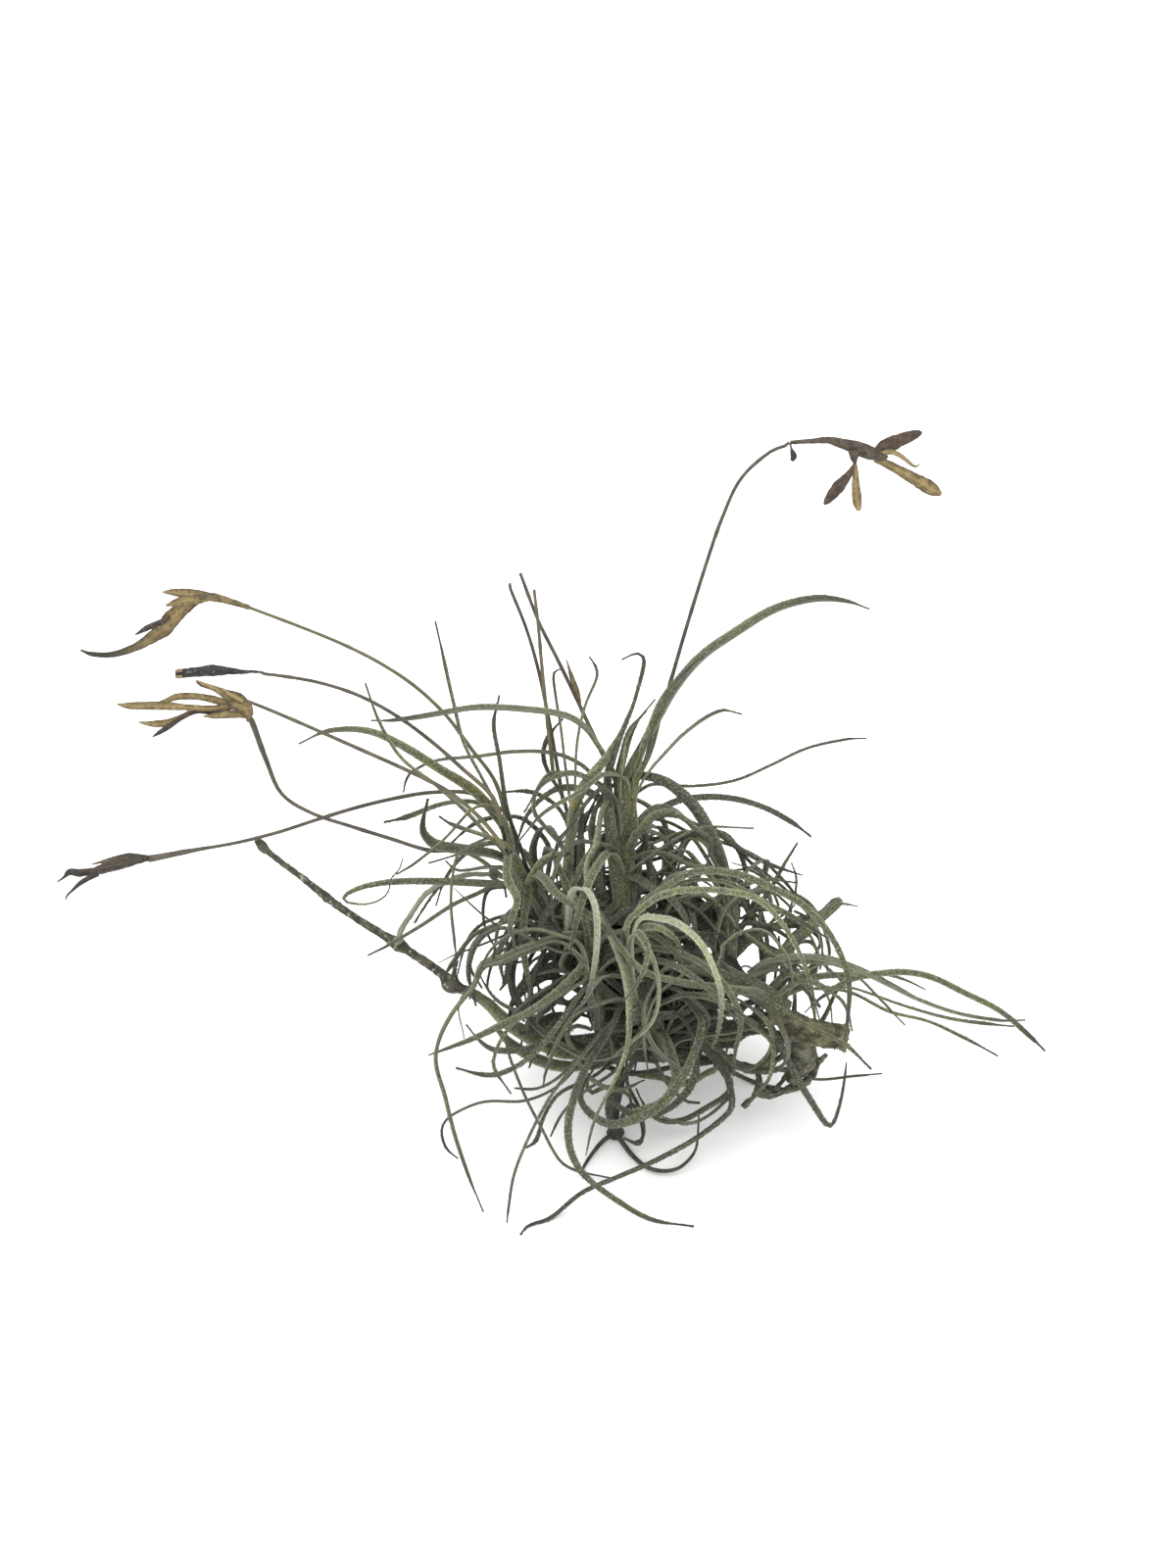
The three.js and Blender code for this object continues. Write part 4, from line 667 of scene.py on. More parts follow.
# Leaves drawn point by point, by the shoot they belong to: the way their channel opens, their
# tone and their points as (across, up, depth, width).
DRAWN_LEAVES = {
    "shoot_upright_left": (
        ("in", 1.0, [
            (-12, -6, 8, 1.1), (-12.2, -2, 9, 1.3), (-12, 2, 11, 1.4), (-11.9, 5.4, 15, 1.4),
            (-11.6, 8.4, 20, 1.5), (-10.9, 10.2, 24, 1.6), (-9.6, 10.7, 27, 1.7),
            (-8.2, 10, 29, 1.75), (-7.1, 8, 30, 1.75), (-6.5, 5.4, 30.4, 1.75),
            (-6.3, 2, 30.6, 1.7), (-6.6, -3, 30.8, 1.5), (-7.4, -8, 31, 1.1),
            (-8.4, -11.4, 31, 0.6), (-9.4, -12.6, 31, 0.3)]),
        ("in", 0.72, [
            (-2.6, 29, 5, 1.0), (-4, 28.4, 8, 1.3), (-5.2, 25.6, 11, 1.6), (-5.6, 22.6, 13, 1.7),
            (-6.2, 19.4, 15, 1.7), (-7.4, 17.2, 16.6, 1.6), (-8.1, 15, 17.6, 1.5),
            (-7.9, 12, 19, 1.6), (-6.9, 8.9, 20.6, 1.8), (-5.4, 5.4, 22, 2.0),
            (-3.7, 2.4, 23.6, 2.2), (-1.6, -2.6, 25.6, 2.2), (-0.1, -7.4, 27.6, 2.1),
            (0.6, -13.6, 28, 2.0), (0.2, -21.4, 24.7, 1.9), (-2.8, -29.1, 22.3, 1.6),
            (-6.4, -36.1, 19.5, 1.1), (-8.4, -43.8, 16, 0.3)]),
        ("in", 0.75, [
            (-12, -2, 7.6, 1.4), (-12, 1.2, 7.8, 1.8), (-12.2, 9.8, 8.2, 2.2),
            (-12.2, 14, 8.2, 2.2), (-12, 16.8, 8.2, 2.1), (-11.8, 19.8, 8.4, 2.0),
            (-11.4, 23, 8.6, 2.0), (-11, 26.2, 8.8, 2.2), (-10.2, 29, 9, 2.3), (-8.4, 32, 9, 2.3),
            (-6.4, 34.6, 8.6, 2.1), (-4.2, 37.4, 8, 1.7), (-2.6, 40, 7.4, 1.3),
            (-1.2, 42.4, 6.6, 1.0), (-0.2, 45, 6, 0.7), (1, 48, 5.4, 0.3)]),
        ("in", 0.3, [
            (-9.6, 2, 6.6, 1.2), (-9.8, 8, 7, 1.6), (-9.6, 14, 7.2, 1.7), (-9.4, 19, 7.2, 1.6),
            (-9.6, 23, 7, 1.2), (-9.2, 26, 6.8, 0.5)]),
    ),
    "shoot_upright": (
        ("in", 0.1, [
            (-3.4, 27, 7, 1.0), (-4.2, 31, 8.4, 1.3), (-5.8, 30.6, 9.4, 1.4),
            (-8.6, 27.6, 10.4, 1.3), (-10.6, 24.6, 10.8, 1.2), (-12.8, 21.6, 11, 0.9),
            (-14.2, 19, 11, 0.6), (-15.6, 16.4, 10.8, 0.4), (-16.2, 14, 10.6, 0.2)]),
        ("in", 0.4, [
            (-1.8, 3.2, 6.5, 1.8), (-2, 9.8, 7, 2.2), (-2.6, 15.4, 7.4, 2.6),
            (-3.2, 21.2, 7.4, 2.6), (-3.8, 25.4, 7.2, 2.3), (-4, 29.8, 6.8, 1.8),
            (-4.2, 33.2, 6.4, 1.4), (-3.8, 35.4, 6, 1.3), (-2.8, 38.2, 5.6, 1.2),
            (-1.8, 41.2, 5.4, 1.0), (-0.4, 44, 5.4, 0.8), (0.8, 47, 5.6, 0.3)]),
        ("in", 0.45, [
            (-0.6, 2, 6, 1.6), (-0.6, 6.8, 6.4, 2.2), (-0.4, 12.6, 6.8, 2.4), (0, 18.2, 7, 2.6),
            (-0.2, 24, 7, 2.4), (-0.8, 28, 6.8, 2.2), (-0.6, 32, 6.4, 2.0), (1, 36, 6, 1.8),
            (3, 40, 5.6, 1.2), (4.4, 43, 5.4, 0.4)]),
        ("in", 0.55, [
            (0.2, 10, 6, 1.4), (0.4, 14.8, 6.4, 2.0), (0.8, 18.2, 6.8, 2.3), (1.2, 21.8, 7, 2.2),
            (1.4, 24, 7, 1.8), (1.2, 26.8, 6.8, 1.5), (1.2, 30.2, 6.6, 1.5), (1.8, 32.6, 6.6, 1.5),
            (2.6, 34.6, 6.6, 1.4), (3.8, 36.8, 6.6, 1.0), (4.6, 40.2, 6.6, 0.7),
            (5.2, 42.2, 6.6, 0.3)]),
        ("in", 0.35, [
            (-5.6, 6, 5.6, 1.4), (-5.8, 12, 6, 1.8), (-6.4, 18, 6.4, 1.8), (-7.2, 22.4, 6.8, 1.6),
            (-6.6, 26, 6.8, 1.2), (-5, 30, 6.4, 0.5)]),
        ("in", 0.15, [
            (-5, -4, 4, 1.4), (-5, 2.6, 5, 1.9), (-5.2, 8.4, 5.4, 2.1), (-5.4, 14, 5.6, 2.0),
            (-5.2, 18.4, 5.6, 1.5), (-4.6, 22, 5.4, 0.6)]),
        ("in", 0.6, [
            (-5.6, 24, 8, 1.0), (-6.2, 21, 9.6, 1.4), (-7, 18.6, 10.4, 1.6),
            (-8.2, 16.8, 10.8, 1.6), (-9.8, 14.2, 11, 1.4), (-10.8, 11.8, 11, 1.1),
            (-11.3, 9.6, 10.8, 0.4)]),
        ("in", 0.1, [
            (1.6, -4, 3, 1.6), (1.6, 4, 4, 2.0), (1.8, 10, 4.6, 2.2), (2.2, 15, 4.8, 1.8),
            (2.8, 20, 4.6, 0.7)]),
        ("in", 0.2, [
            (4, -2, 2, 1.4), (5, 6, 3, 1.8), (5, 12, 3.4, 1.8), (4, 18, 3.6, 1.2),
            (3, 22, 3.6, 0.5)]),
        ("in", 0.14, [
            (-3.4, 31.4, 3, 0.8), (0, 33.2, 4, 1.4), (3.6, 33.6, 5.4, 1.8), (8, 32.2, 7, 2.2),
            (11.4, 29.6, 8, 2.4), (14.2, 26.6, 8, 2.5), (17.2, 21.6, 7.4, 2.4),
            (19, 17.6, 6.4, 2.3), (20.2, 14.4, 5.4, 1.8), (21, 11.8, 4.4, 0.7)]),
        ("in", 0.1, [
            (1, 15, 2, 0.9), (5, 17.4, 0, 1.1), (10, 20.4, -2, 1.2), (14.2, 22.4, -4, 1.2),
            (17.8, 22.6, -5, 1.2), (20.6, 20.8, -6, 1.2), (24.8, 17.8, -7, 1.2),
            (30, 15.4, -8, 1.0), (35.8, 13.4, -8, 0.3)]),
        ("in", 0.05, [
            (1, 20, 2, 0.8), (5, 25, 0, 1.0), (10, 25.6, -4, 1.1), (14.2, 23.8, -6, 1.1),
            (18.4, 22, -7, 1.1), (22.6, 18.8, -8, 1.0), (25.8, 15.6, -8, 1.0), (30, 12.6, -8, 0.95),
            (33.6, 9.4, -8, 0.85), (36.8, 5.6, -8, 0.5), (38, 3.6, -8, 0.2)]),
        ("in", 0.35, [
            (0.6, 21, 7, 1.0), (3, 25, 6, 1.5), (6, 27.2, 4.6, 1.5), (9.6, 26.6, 3, 1.3),
            (12.6, 24, 1, 1.0), (14.6, 20.6, -1, 0.5)]),
    ),
    "shoot_low": (
        ("up", 0.1, [
            (3, -22, 0, 1.4), (0.6, -26, -3, 1.8), (-2.4, -30, -5, 2.0), (-3.6, -34, -6, 1.9),
            (-3, -37.6, -7, 1.5), (-1.4, -39.6, -8, 0.6)]),
        ("up", 0.1, [
            (5, -21, 0, 1.4), (6, -25, 0, 1.9), (8.6, -29.6, 0, 2.1), (12, -32.6, 1, 1.7),
            (15, -33, 2, 0.6)]),
        ("up", 0.15, [
            (2, -22, 3, 1.2), (-3, -27, 3, 1.6), (-9, -31, 3, 1.5), (-13, -35, 3, 1.1),
            (-15.6, -40, 3, 0.4)]),
        ("up", 0.1, [
            (3, -23, -3, 0.9), (0, -28, -6, 1.0), (2.6, -34.2, -6, 0.95), (3.4, -38.8, -5, 0.9),
            (2, -41.2, -4.4, 0.8), (-0.8, -40.2, -4.6, 0.4)]),
        ("up", 0.3, [
            (-8.6, -26, -2, 0.9), (-7.6, -31, -3, 1.2), (-4.6, -30, -3, 1.2), (-1.6, -31, -3, 1.1),
            (0.6, -35, -4, 0.4)]),
    ),
    "shoot_low_left": (
        ("up", 0.2, [
            (-7, -16, 6, 1.2), (-9, -22, 6, 1.7), (-13, -27, 6, 1.7), (-18, -30, 6, 1.2),
            (-23, -30, 5, 0.4)]),
        ("in", 0.45, [
            (-4, -2, 10, 1.2), (-7.6, 0.6, 12, 1.9), (-12, 0.8, 13, 2.3), (-16.8, -0.6, 13, 2.4),
            (-22, -2.4, 12, 2.3), (-26.8, -4.8, 11, 1.9), (-30.4, -8, 10, 1.3),
            (-32.6, -11.4, 9, 0.5)]),
        ("in", 0.8, [
            (-31.5, -10.6, -5, 1.6), (-28.5, -12.8, -4, 2.4), (-25.8, -15.6, -4, 2.8),
            (-22.4, -18.2, -4, 3.0), (-18, -20.8, -4, 3.0), (-13.5, -22.8, -4, 2.8),
            (-8.5, -23, -5, 2.6), (-3, -21.6, -5, 2.0), (2, -20, -6, 0.8)]),
        ("in", 0.6, [
            (-27, -17.4, -3, 0.8), (-25, -19.8, -3, 1.6), (-22, -22.2, -3, 2.2),
            (-18, -24.4, -3, 2.4), (-13, -25.6, -3, 2.4), (-8, -25.2, -3, 2.0),
            (-3, -23.8, -3, 1.2), (0, -22.8, -3, 0.4)]),
        ("in", 0.55, [
            (-6.6, 0.6, 13, 1.2), (-8, -2.6, 13.6, 1.7), (-9.6, -5.8, 13.6, 1.8),
            (-13.1, -9.5, 13, 1.8), (-16.7, -12.5, 12, 1.8), (-20.4, -14.9, 11, 1.7),
            (-25.8, -17.4, 9.6, 1.6), (-31.3, -20, 8, 1.3), (-36, -21.8, 7, 0.9),
            (-40.6, -23.4, 6, 0.3)]),
        ("up", 0.1, [
            (-20, -4, 0, 0.7), (-27, -6, 0, 0.6), (-34, -12, 0, 0.5), (-33.2, -20, 0, 0.25)]),
    ),
    "shoot_low_right": (
        ("up", 0.2, [
            (13, -20, 0, 1.2), (14, -26, 3, 1.6), (12, -31, 5, 1.6), (7, -35, 6, 1.2),
            (1, -36, 6, 0.4)]),
    ),
    "shoot_core": (
        ("up", 0.1, [
            (-5, -10, -4, 1.4), (-9, -12, 2, 1.9), (-14, -16, 5, 1.8), (-18, -21, 6, 1.3),
            (-20, -26, 6, 0.4)]),
        ("up", 0.1, [
            (-4, -8, -6, 1.4), (1, -9, 2, 1.8), (7, -12, 6, 1.6), (12, -17, 7, 1.2),
            (14, -22, 7, 0.4)]),
        ("up", 0.05, [
            (-3, -4, -7, 1.4), (4, -1, 0, 1.8), (10, -3, 4, 1.6), (15, -8, 5, 1.2),
            (18, -14, 4, 0.4)]),
        ("in", 0.05, [
            (-4, -2, -3, 1.6), (-10, -4, 0, 2.4), (-16, -6.6, 2, 2.6), (-21, -10, 2, 1.8),
            (-24, -14, 1.5, 0.5)]),
        ("in", 0.05, [
            (-8, -4, -2, 1.6), (-12, -8, 0, 2.5), (-17, -11, 1, 2.6), (-22, -14, 1, 1.6),
            (-25, -18, 0, 0.5)]),
        ("in", 0.1, [
            (-6, -8, -2, 1.6), (-11, -13, 0, 2.6), (-16, -16, 1, 2.6), (-20, -17, 1, 0.6)]),
        ("in", 0.05, [
            (-7, -12, 0, 1.6), (-12, -16.6, 1, 2.4), (-17, -18.4, 1, 2.0), (-22, -19, 1, 0.5)]),
        ("in", 0.0, [
            (-3.6, 2, -2, 1.8), (-2.6, -6, 0, 2.9), (-1.6, -14, 1, 3.0), (-1, -22, 0, 2.2),
            (-2, -27, -2, 0.6)]),
        ("in", 0.05, [
            (-0.4, 0, -3, 1.8), (1, -8, -1, 2.8), (2, -15, 0, 3.0), (2, -22, -1, 1.6),
            (1.4, -25, -2, 0.5)]),
        ("in", 0.0, [
            (0, -4, -4, 1.8), (6, -8, -2, 2.8), (12, -11, -1, 2.8), (18, -13, -1, 1.8),
            (23, -14, -1, 0.5)]),
        ("in", 0.0, [
            (1, -10, -3, 1.8), (7, -13, -1, 2.8), (13, -16, -1, 2.6), (19, -19, -1, 1.6),
            (23, -22, -2, 0.5)]),
        ("in", 0.2, [
            (4, -13, -2, 1.6), (10, -16, -3, 2.8), (16, -17.6, -4, 3.0), (21.5, -17.4, -5, 2.6),
            (26, -16, -3, 2.2), (30, -15, 0, 1.4)]),
        ("in", 0.1, [
            (4, -17, -3, 1.6), (10, -20, -4, 3.0), (15.6, -21, -6, 3.0), (20, -19.6, -8, 2.6),
            (24, -17.6, -7, 1.8), (28, -16.4, -4, 0.8)]),
        ("in", 0.1, [
            (5, -21, -4, 1.4), (10, -24, -6, 2.4), (15, -24.8, -8, 2.4), (19.4, -24.2, -9, 1.8),
            (22, -23.4, -9, 0.8)]),
    ),
    "shoot_left": (
        ("in", 0.65, [
            (-20.5, 11.5, 8, 1.4), (-19.2, 13.4, 8.6, 1.8), (-17.3, 16.1, 9, 1.8),
            (-14.6, 17.4, 9, 1.6), (-11.6, 17.8, 8.6, 0.8)]),
        ("in", 0.4, [
            (-24.3, 11.4, 5.5, 1.5), (-28.9, 11.7, 6, 1.6), (-38, 12.1, 7, 1.5),
            (-46, 12.1, 8, 1.4), (-51.7, 11.5, 8.6, 1.2), (-55.7, 10.3, 9, 1.0),
            (-57.9, 8.7, 9.4, 0.8), (-56.6, 7.8, 9.8, 0.6), (-52.9, 7.6, 10, 0.5),
            (-50, 8.7, 10, 0.45), (-48.7, 10.3, 10, 0.4), (-48.3, 12.6, 10, 0.4),
            (-46.6, 14.6, 10, 0.35), (-45.8, 16.9, 10, 0.3)]),
        ("up", 0.1, [
            (-22, 1, 2, 0.7), (-27.4, 3.6, 4, 0.6), (-32, 7.4, 5, 0.5), (-35.4, 10.8, 6, 0.25)]),
        ("up", 0.1, [
            (-25, 1, 0, 0.7), (-31, -1.4, 0, 0.6), (-35.4, -3, 0, 0.4), (-38.6, -4.6, 0, 0.2)]),
    ),
    "shoot_right": (
        ("in", 0.03, [
            (27, -14, 5, 1.0), (28.9, -16.8, 5, 1.4), (31.1, -21.1, 4, 1.5), (33.2, -25.3, 2, 1.5),
            (35.8, -30, -1, 1.4), (38.4, -34.2, -3, 1.3), (40.5, -37.4, -4.5, 1.2),
            (41.5, -37.9, -5, 1.2), (42.4, -36.9, -5.5, 1.2), (43.7, -32.6, -7, 1.1),
            (44.5, -27.9, -9, 0.8), (44.8, -24.8, -10.5, 0.3)]),
        ("in", 0.48, [
            (27.4, -13.6, 7, 1.2), (32, -11, 6, 1.5), (36.8, -9, 5, 1.4), (42, -7, 4, 1.4),
            (46.6, -7, 3, 1.3), (52, -6.6, 2, 1.0), (57, -8, 1, 0.6), (61, -10, 0, 0.3)]),
        ("in", 0.6, [
            (28.6, -13, 6, 1.6), (33.6, -9.6, 4, 2.3), (37.2, -6.4, 2, 2.2), (39, -4.4, 1, 1.4)]),
        ("in", 0.5, [
            (27.6, -11.4, 5, 1.2), (30.6, -8.4, 4, 1.7), (33.4, -6, 3, 1.6), (35, -4.2, 2, 0.8)]),
        ("in", 0.42, [
            (24.8, -7, 6, 1.6), (28, -5, 6, 2.3), (32, -3.8, 5, 2.4), (39.4, -3.8, 3, 2.1),
            (44.2, -4.8, 2, 1.7), (50, -7, 1, 1.3), (56, -10, 0, 0.8), (60, -12.2, 0, 0.3)]),
    ),
    "shoot_back_right": (
        ("up", 0.05, [
            (24, 4, -16, 0.8), (28, 8.4, -12, 0.8), (30, 11.4, -10, 0.8), (32.6, 16.2, -10, 0.6),
            (34.8, 19.8, -10, 0.25)]),
        ("up", 0.1, [
            (30, 4, -12, 0.8), (34, 7, -9, 0.5), (34.6, 11, -9, 0.3), (34, 15.2, -9, 0.15)]),
    ),
    "shoot_right_upper": (
        ("up", 0.2, [
            (34, 6, -8, 0.8), (36.8, 4.6, -8, 0.9), (39, 2, -8, 1.0), (39.8, -2.8, -8, 0.9),
            (39.4, -6, -8, 0.5)]),
        ("in", 0.35, [
            (21.6, 3, 3, 0.6), (24.6, 1, 4, 0.9), (28, -1.8, 5, 1.1), (32, -5, 6, 1.1),
            (36, -9.6, 6, 1.0), (39.4, -13.6, 5, 0.6)]),
        ("in", 0.3, [
            (33, 0.6, -8, 0.8), (29, 3, -9, 1.0), (25, 3.6, -9, 1.0), (21.6, 2.6, -9, 0.8),
            (20, 0.8, -9, 0.4)]),
        ("in", 0.4, [
            (35, 4.4, -8, 0.8), (31, 6, -9, 1.0), (26.6, 6.4, -10, 1.0), (23, 4.4, -10, 0.5)]),
        ("in", 0.3, [
            (34, -0.6, -7, 0.8), (37.4, -0.2, -8, 0.9), (39, -2.6, -9, 0.9), (38.6, -6.4, -9, 0.7),
            (37.2, -9.6, -9, 0.4)]),
    ),
    "shoot_right_middle": (
        ("in", 0.3, [
            (38, 4, -12, 0.8), (34, 1.4, -12, 0.9), (31, -3, -12, 0.9), (30, -8.4, -12, 0.5)]),
        ("in", 0.35, [(36, 3.6, -13, 0.8), (33.6, 0, -13, 0.8), (31.6, -4.6, -13, 0.5)]),
    ),
}


def arc(start, leaving, end, arriving, fullness, count):
    """A bend from a start, which it leaves one way, to an end, where it arrives another."""
    pull = (end - start).length * fullness
    return interpolate_bezier(start, start + leaving * pull, end - arriving * pull, end, count)


def rooted_line(strand, stem, stem_radius, length, layer):
    """A leaf from its sheath on the stem to its tip: its line, its half widths, the way out."""
    outer = [centre for centre, _ in reversed(strand)]
    girths = [radius * sizes().blade_girth for _, radius in reversed(strand)]
    first, own = outer[0], max(girths)
    index, near = nearest_on(stem, first)
    up_stem = along_line(stem, min(len(stem) - 1, int(index)))
    out = square_to(up_stem, first - near)
    if out.length < FLUSH:
        out = square_to(up_stem, outer[1] - first)
    out.normalize()
    heading = (outer[1] - first).normalized()
    if heading.dot(up_stem) < HANGING:
        start = near + out * stem_radius * HANGING_IN
        bend = arc(start, (up_stem + out).normalized(), first, heading, 0.6, 9)[:-1]
        thin = [own * (0.62 + 0.38 * k / len(bend)) for k in range(len(bend))]
        return bend + outer, thin + girths, out
    step = (stem[1] - stem[0]).length
    leaves_at = max(0.5, index - max(LOWEST_BEND, (first - near).length * 0.9) / step)
    starts_at = max(0, leaves_at - length / step)
    count = max(2, round((leaves_at - starts_at) * step / SHEATH_STEP))
    wide = max(own, stem_radius * SHEATH_WIDE)
    line, halves = [], []
    for k in range(count + 1):
        share = k / count
        stands = stem_radius * SHEATH_IN + layer * share
        line.append(at(stem, between(starts_at, leaves_at, share)) + out * stands)
        halves.append(between(wide, own * SHEATH_MOUTH, share ** 2))
    bend = arc(line[-1], up_stem, first, heading, 0.4, 8)[1:-1]
    for k, point in enumerate(bend):
        line.append(point)
        halves.append(own * between(SHEATH_MOUTH, 1, (k + 1) / (len(bend) + 1)))
    whole = [own if girth > own * 0.9 else girth for girth in girths]
    return line + outer, halves + whole, out


def blade_widths(line, raw, halves, draw):
    """Half widths along the smooth line, read from the rough one, down to a thread."""
    thread = sizes().thread_radius
    last = len(line) - 1
    widths = []
    for i, point in enumerate(line):
        along = i / last
        half = value_near(raw, halves, point)
        half *= (1 - TAPER * along ** 4) / (1 - SOLID_TAPER * along ** 2)
        half *= 1 + UNEVEN * noise.noise(point * UNEVEN_GRAIN + Vector((draw, 0, 0)))
        if along > TIP_TAPER:
            half *= 1 - 0.5 * (along - TIP_TAPER) / (1 - TIP_TAPER)
        widths.append(max(thread, half))
    return widths


def strayed(line, draw):
    """The line with a slight waviness that fades out at the root."""
    last = len(line) - 1
    start = Vector((draw * 9.1, draw, 3))
    moved = []
    for i, point in enumerate(line):
        spot = point * WANDER_GRAIN + start
        stray = Vector([noise.noise(spot + ACROSS * shift) for shift in STRAY_SHIFTS])
        moved.append(point + stray * WANDER * min(1, i / last * 3))
    return moved


def led_round(line, half):
    """The line pushed sideways, as seen, so that the open spots stay open."""
    for across, up, radius in CLEARINGS:
        middle = Vector((across, up))
        spots = [seen(point) for point in line]
        closest = min(spots, key=lambda spot: (spot - middle).length)
        way = closest - middle
        room = radius + half / MM - way.length
        if room > 0:
            way.normalize()
            push = (ACROSS * way.x + UP * way.y) * room * MM
            reach = radius * CLEARING_BLEND
            line = [
                point + push * math.exp(-((spot - closest).length / reach) ** 2)
                for point, spot in zip(line, spots)]
    return line


def inner_leaf(strand, stem, draw):
    """A leaf between the others: one of them turned about the stem and drawn in."""
    index, near = nearest_on(stem, strand[-1][0])
    heading = along_line(stem, min(len(stem) - 1, int(index)))
    turn = Quaternion(heading, draw.uniform(*INNER_TURNS))
    size = draw.uniform(*INNER_SIZES)
    slid = index + draw.uniform(-INNER_SLIDE, INNER_SLIDE)
    shift = at(stem, min(len(stem) - 1.01, max(0, slid))) - near
    return [(near + shift + turn @ (centre - near) * size, radius) for centre, radius in strand]


def deep_inside(points):
    """Whether a line keeps to the heart of the clump, behind its front leaves."""
    low, high = CAD_BOX
    for point in points:
        depth = (point / MM + ORIGIN).dot(TOWARDS)
        across, up = [
            (here - middle) / reach
            for here, middle, reach in zip(seen(point), HEART, HEART_REACH)]
        if across ** 2 + up ** 2 > 1 or not HEART_DEPTHS[0] < depth < HEART_DEPTHS[1]:
            return False
        if not all(low[axis] + MM < point[axis] < high[axis] - MM for axis in range(3)):
            return False
    return True


def near_any(tip, spots):
    return any((seen(tip) - Vector(spot)).length < TIP_NEAR for spot in spots)


def looks_of(tip, node, colour, draw):
    """The tone of a leaf and how much wider it is than the others."""
    for spot, tone, wider in TIP_TONES:
        if near_any(tip, [spot]):
            return tone, wider
    return draw.uniform(*SHOOT_TONES.get(node, TONES[colour])), SHOOT_WIDTHS.get(node, 1.0)


def add_fringe(surface, edges, tone, draw):
    """Scurf scales along both edges of a blade."""
    last = len(edges) - 1
    for i in range(FRINGE_FROM, last):
        here, there = edges[i], edges[i + 1]
        _, _, out, up, heading = here
        for edge, sign in ((0, 1), (1, -1)):
            for _ in range(FRINGE_EACH):
                root = here[edge].lerp(there[edge], draw.random())
                lean = out * sign + up * draw.uniform(-0.3, 0.8) + heading * draw.uniform(0.1, 1.1)
                lean.normalize()
                tip = root + lean * draw.uniform(*HAIR_LENGTH)
                surface.hair(root - lean * HAIR_ROOT, tip, HAIR_GIRTH, i / last, tone, 1)


def add_leaf(surface, strand, stem, stem_radius, sheath, tone, wider, draw):
    size = sizes()
    raw, halves, out = rooted_line(strand, stem, stem_radius, sheath, draw.uniform(*LAYERS))
    stray = draw.uniform(0, 50)
    line = smooth(raw, size.blade_step)
    widths = [half * wider for half in blade_widths(line, raw, halves, stray)]
    line = led_round(strayed(line, stray), max(widths))
    twist = draw.uniform(-1, 1) * size.blade_twist
    edges = loft_blade(surface, line, widths, -out, [tone] * len(line), twist)
    add_fringe(surface, edges, tone, draw)


def add_drawn_leaf(surface, opens, tone, path, draw):
    line, halves = table_line(path, sizes().blade_step)
    line = led_round(line, max(halves))
    face = UP if opens == "up" else -TOWARDS
    edges = loft_blade(surface, line, halves, face, [tone] * len(line), draw.uniform(-0.5, 0.5))
    add_fringe(surface, edges, tone, draw)


def build_shoot(node, finishes):
    """One leafy stem: the stem itself, then each leaf with its sheath round it."""
    colour, radius, path = SHOOTS[node]
    draw = random.Random(f"{node} {sizes().seed}")
    stem = smooth(route(path), 0.8 * MM)
    stem_radius = radius * MM
    last = len(stem) - 1
    share, taper, tone = BARE_STEMS.get(node, CLAD_STEM)
    radii = [
        stem_radius * share * (1 - taper * (i / last) ** 3) * min(1, 0.45 + 0.4 * (last - i))
        for i in range(last + 1)]
    core = tubes(f"{node}_core", [(stem, radii)], 12, finishes[colour], rough=0.5 * MM,
                 tones=[tone], along=(0.25, 0.6))
    sheath = SHORT_SHEATH if node in BARE_STEMS else sizes().sheath_length
    surface = Surface()
    strands = [line for line in pointed_strands(node, 3) if not near_any(line[0][0], REDRAWN)]
    for strand in strands:
        looks = looks_of(strand[0][0], node, colour, draw)
        add_leaf(surface, strand, stem, stem_radius, sheath, *looks, draw)
    for strand in strands:
        found = 0
        for _ in range(INNER_TRIES):
            inner = inner_leaf(strand, stem, draw)
            if found < INNER_EACH and deep_inside([centre for centre, _ in inner]):
                tone = draw.uniform(*INNER_SHADED_TONES)
                add_leaf(surface, inner, stem, stem_radius, sheath, tone, INNER_WIDER, draw)
                found += 1
    for opens, tone, points in DRAWN_LEAVES.get(node, ()):
        add_drawn_leaf(surface, opens, tone, points, draw)
    piece = surface.piece(f"leafed_{node}", [finishes[colour], finishes["scurf"]])
    return fit(joined(piece, [core]), colour, node)


# ------------------------------------------------------------------ flower stalks

STALK_SIDES = 8
STALK_GIRTH = 0.68
# Stalks thicker near the head, where a dry sheath clasps them: from how far along, how much.
SHEATHED_STALKS = {"stalk_left_lower": (0.72, 0.85), "stalk_left_long": (0.82, 1.1)}
# How golden some stalks are.
GOLDEN_STALKS = {"stalk_left_upper": 1.0, "stalk_left_bud": 0.35, "stalk_young_right": 0.8}
STALK_JOINTS = 5
JOINT_GIRTH = 0.16          # how much a joint swells, as a share of the girth,
JOINT_SPREAD = 0.06         # and over how much of the way between two joints

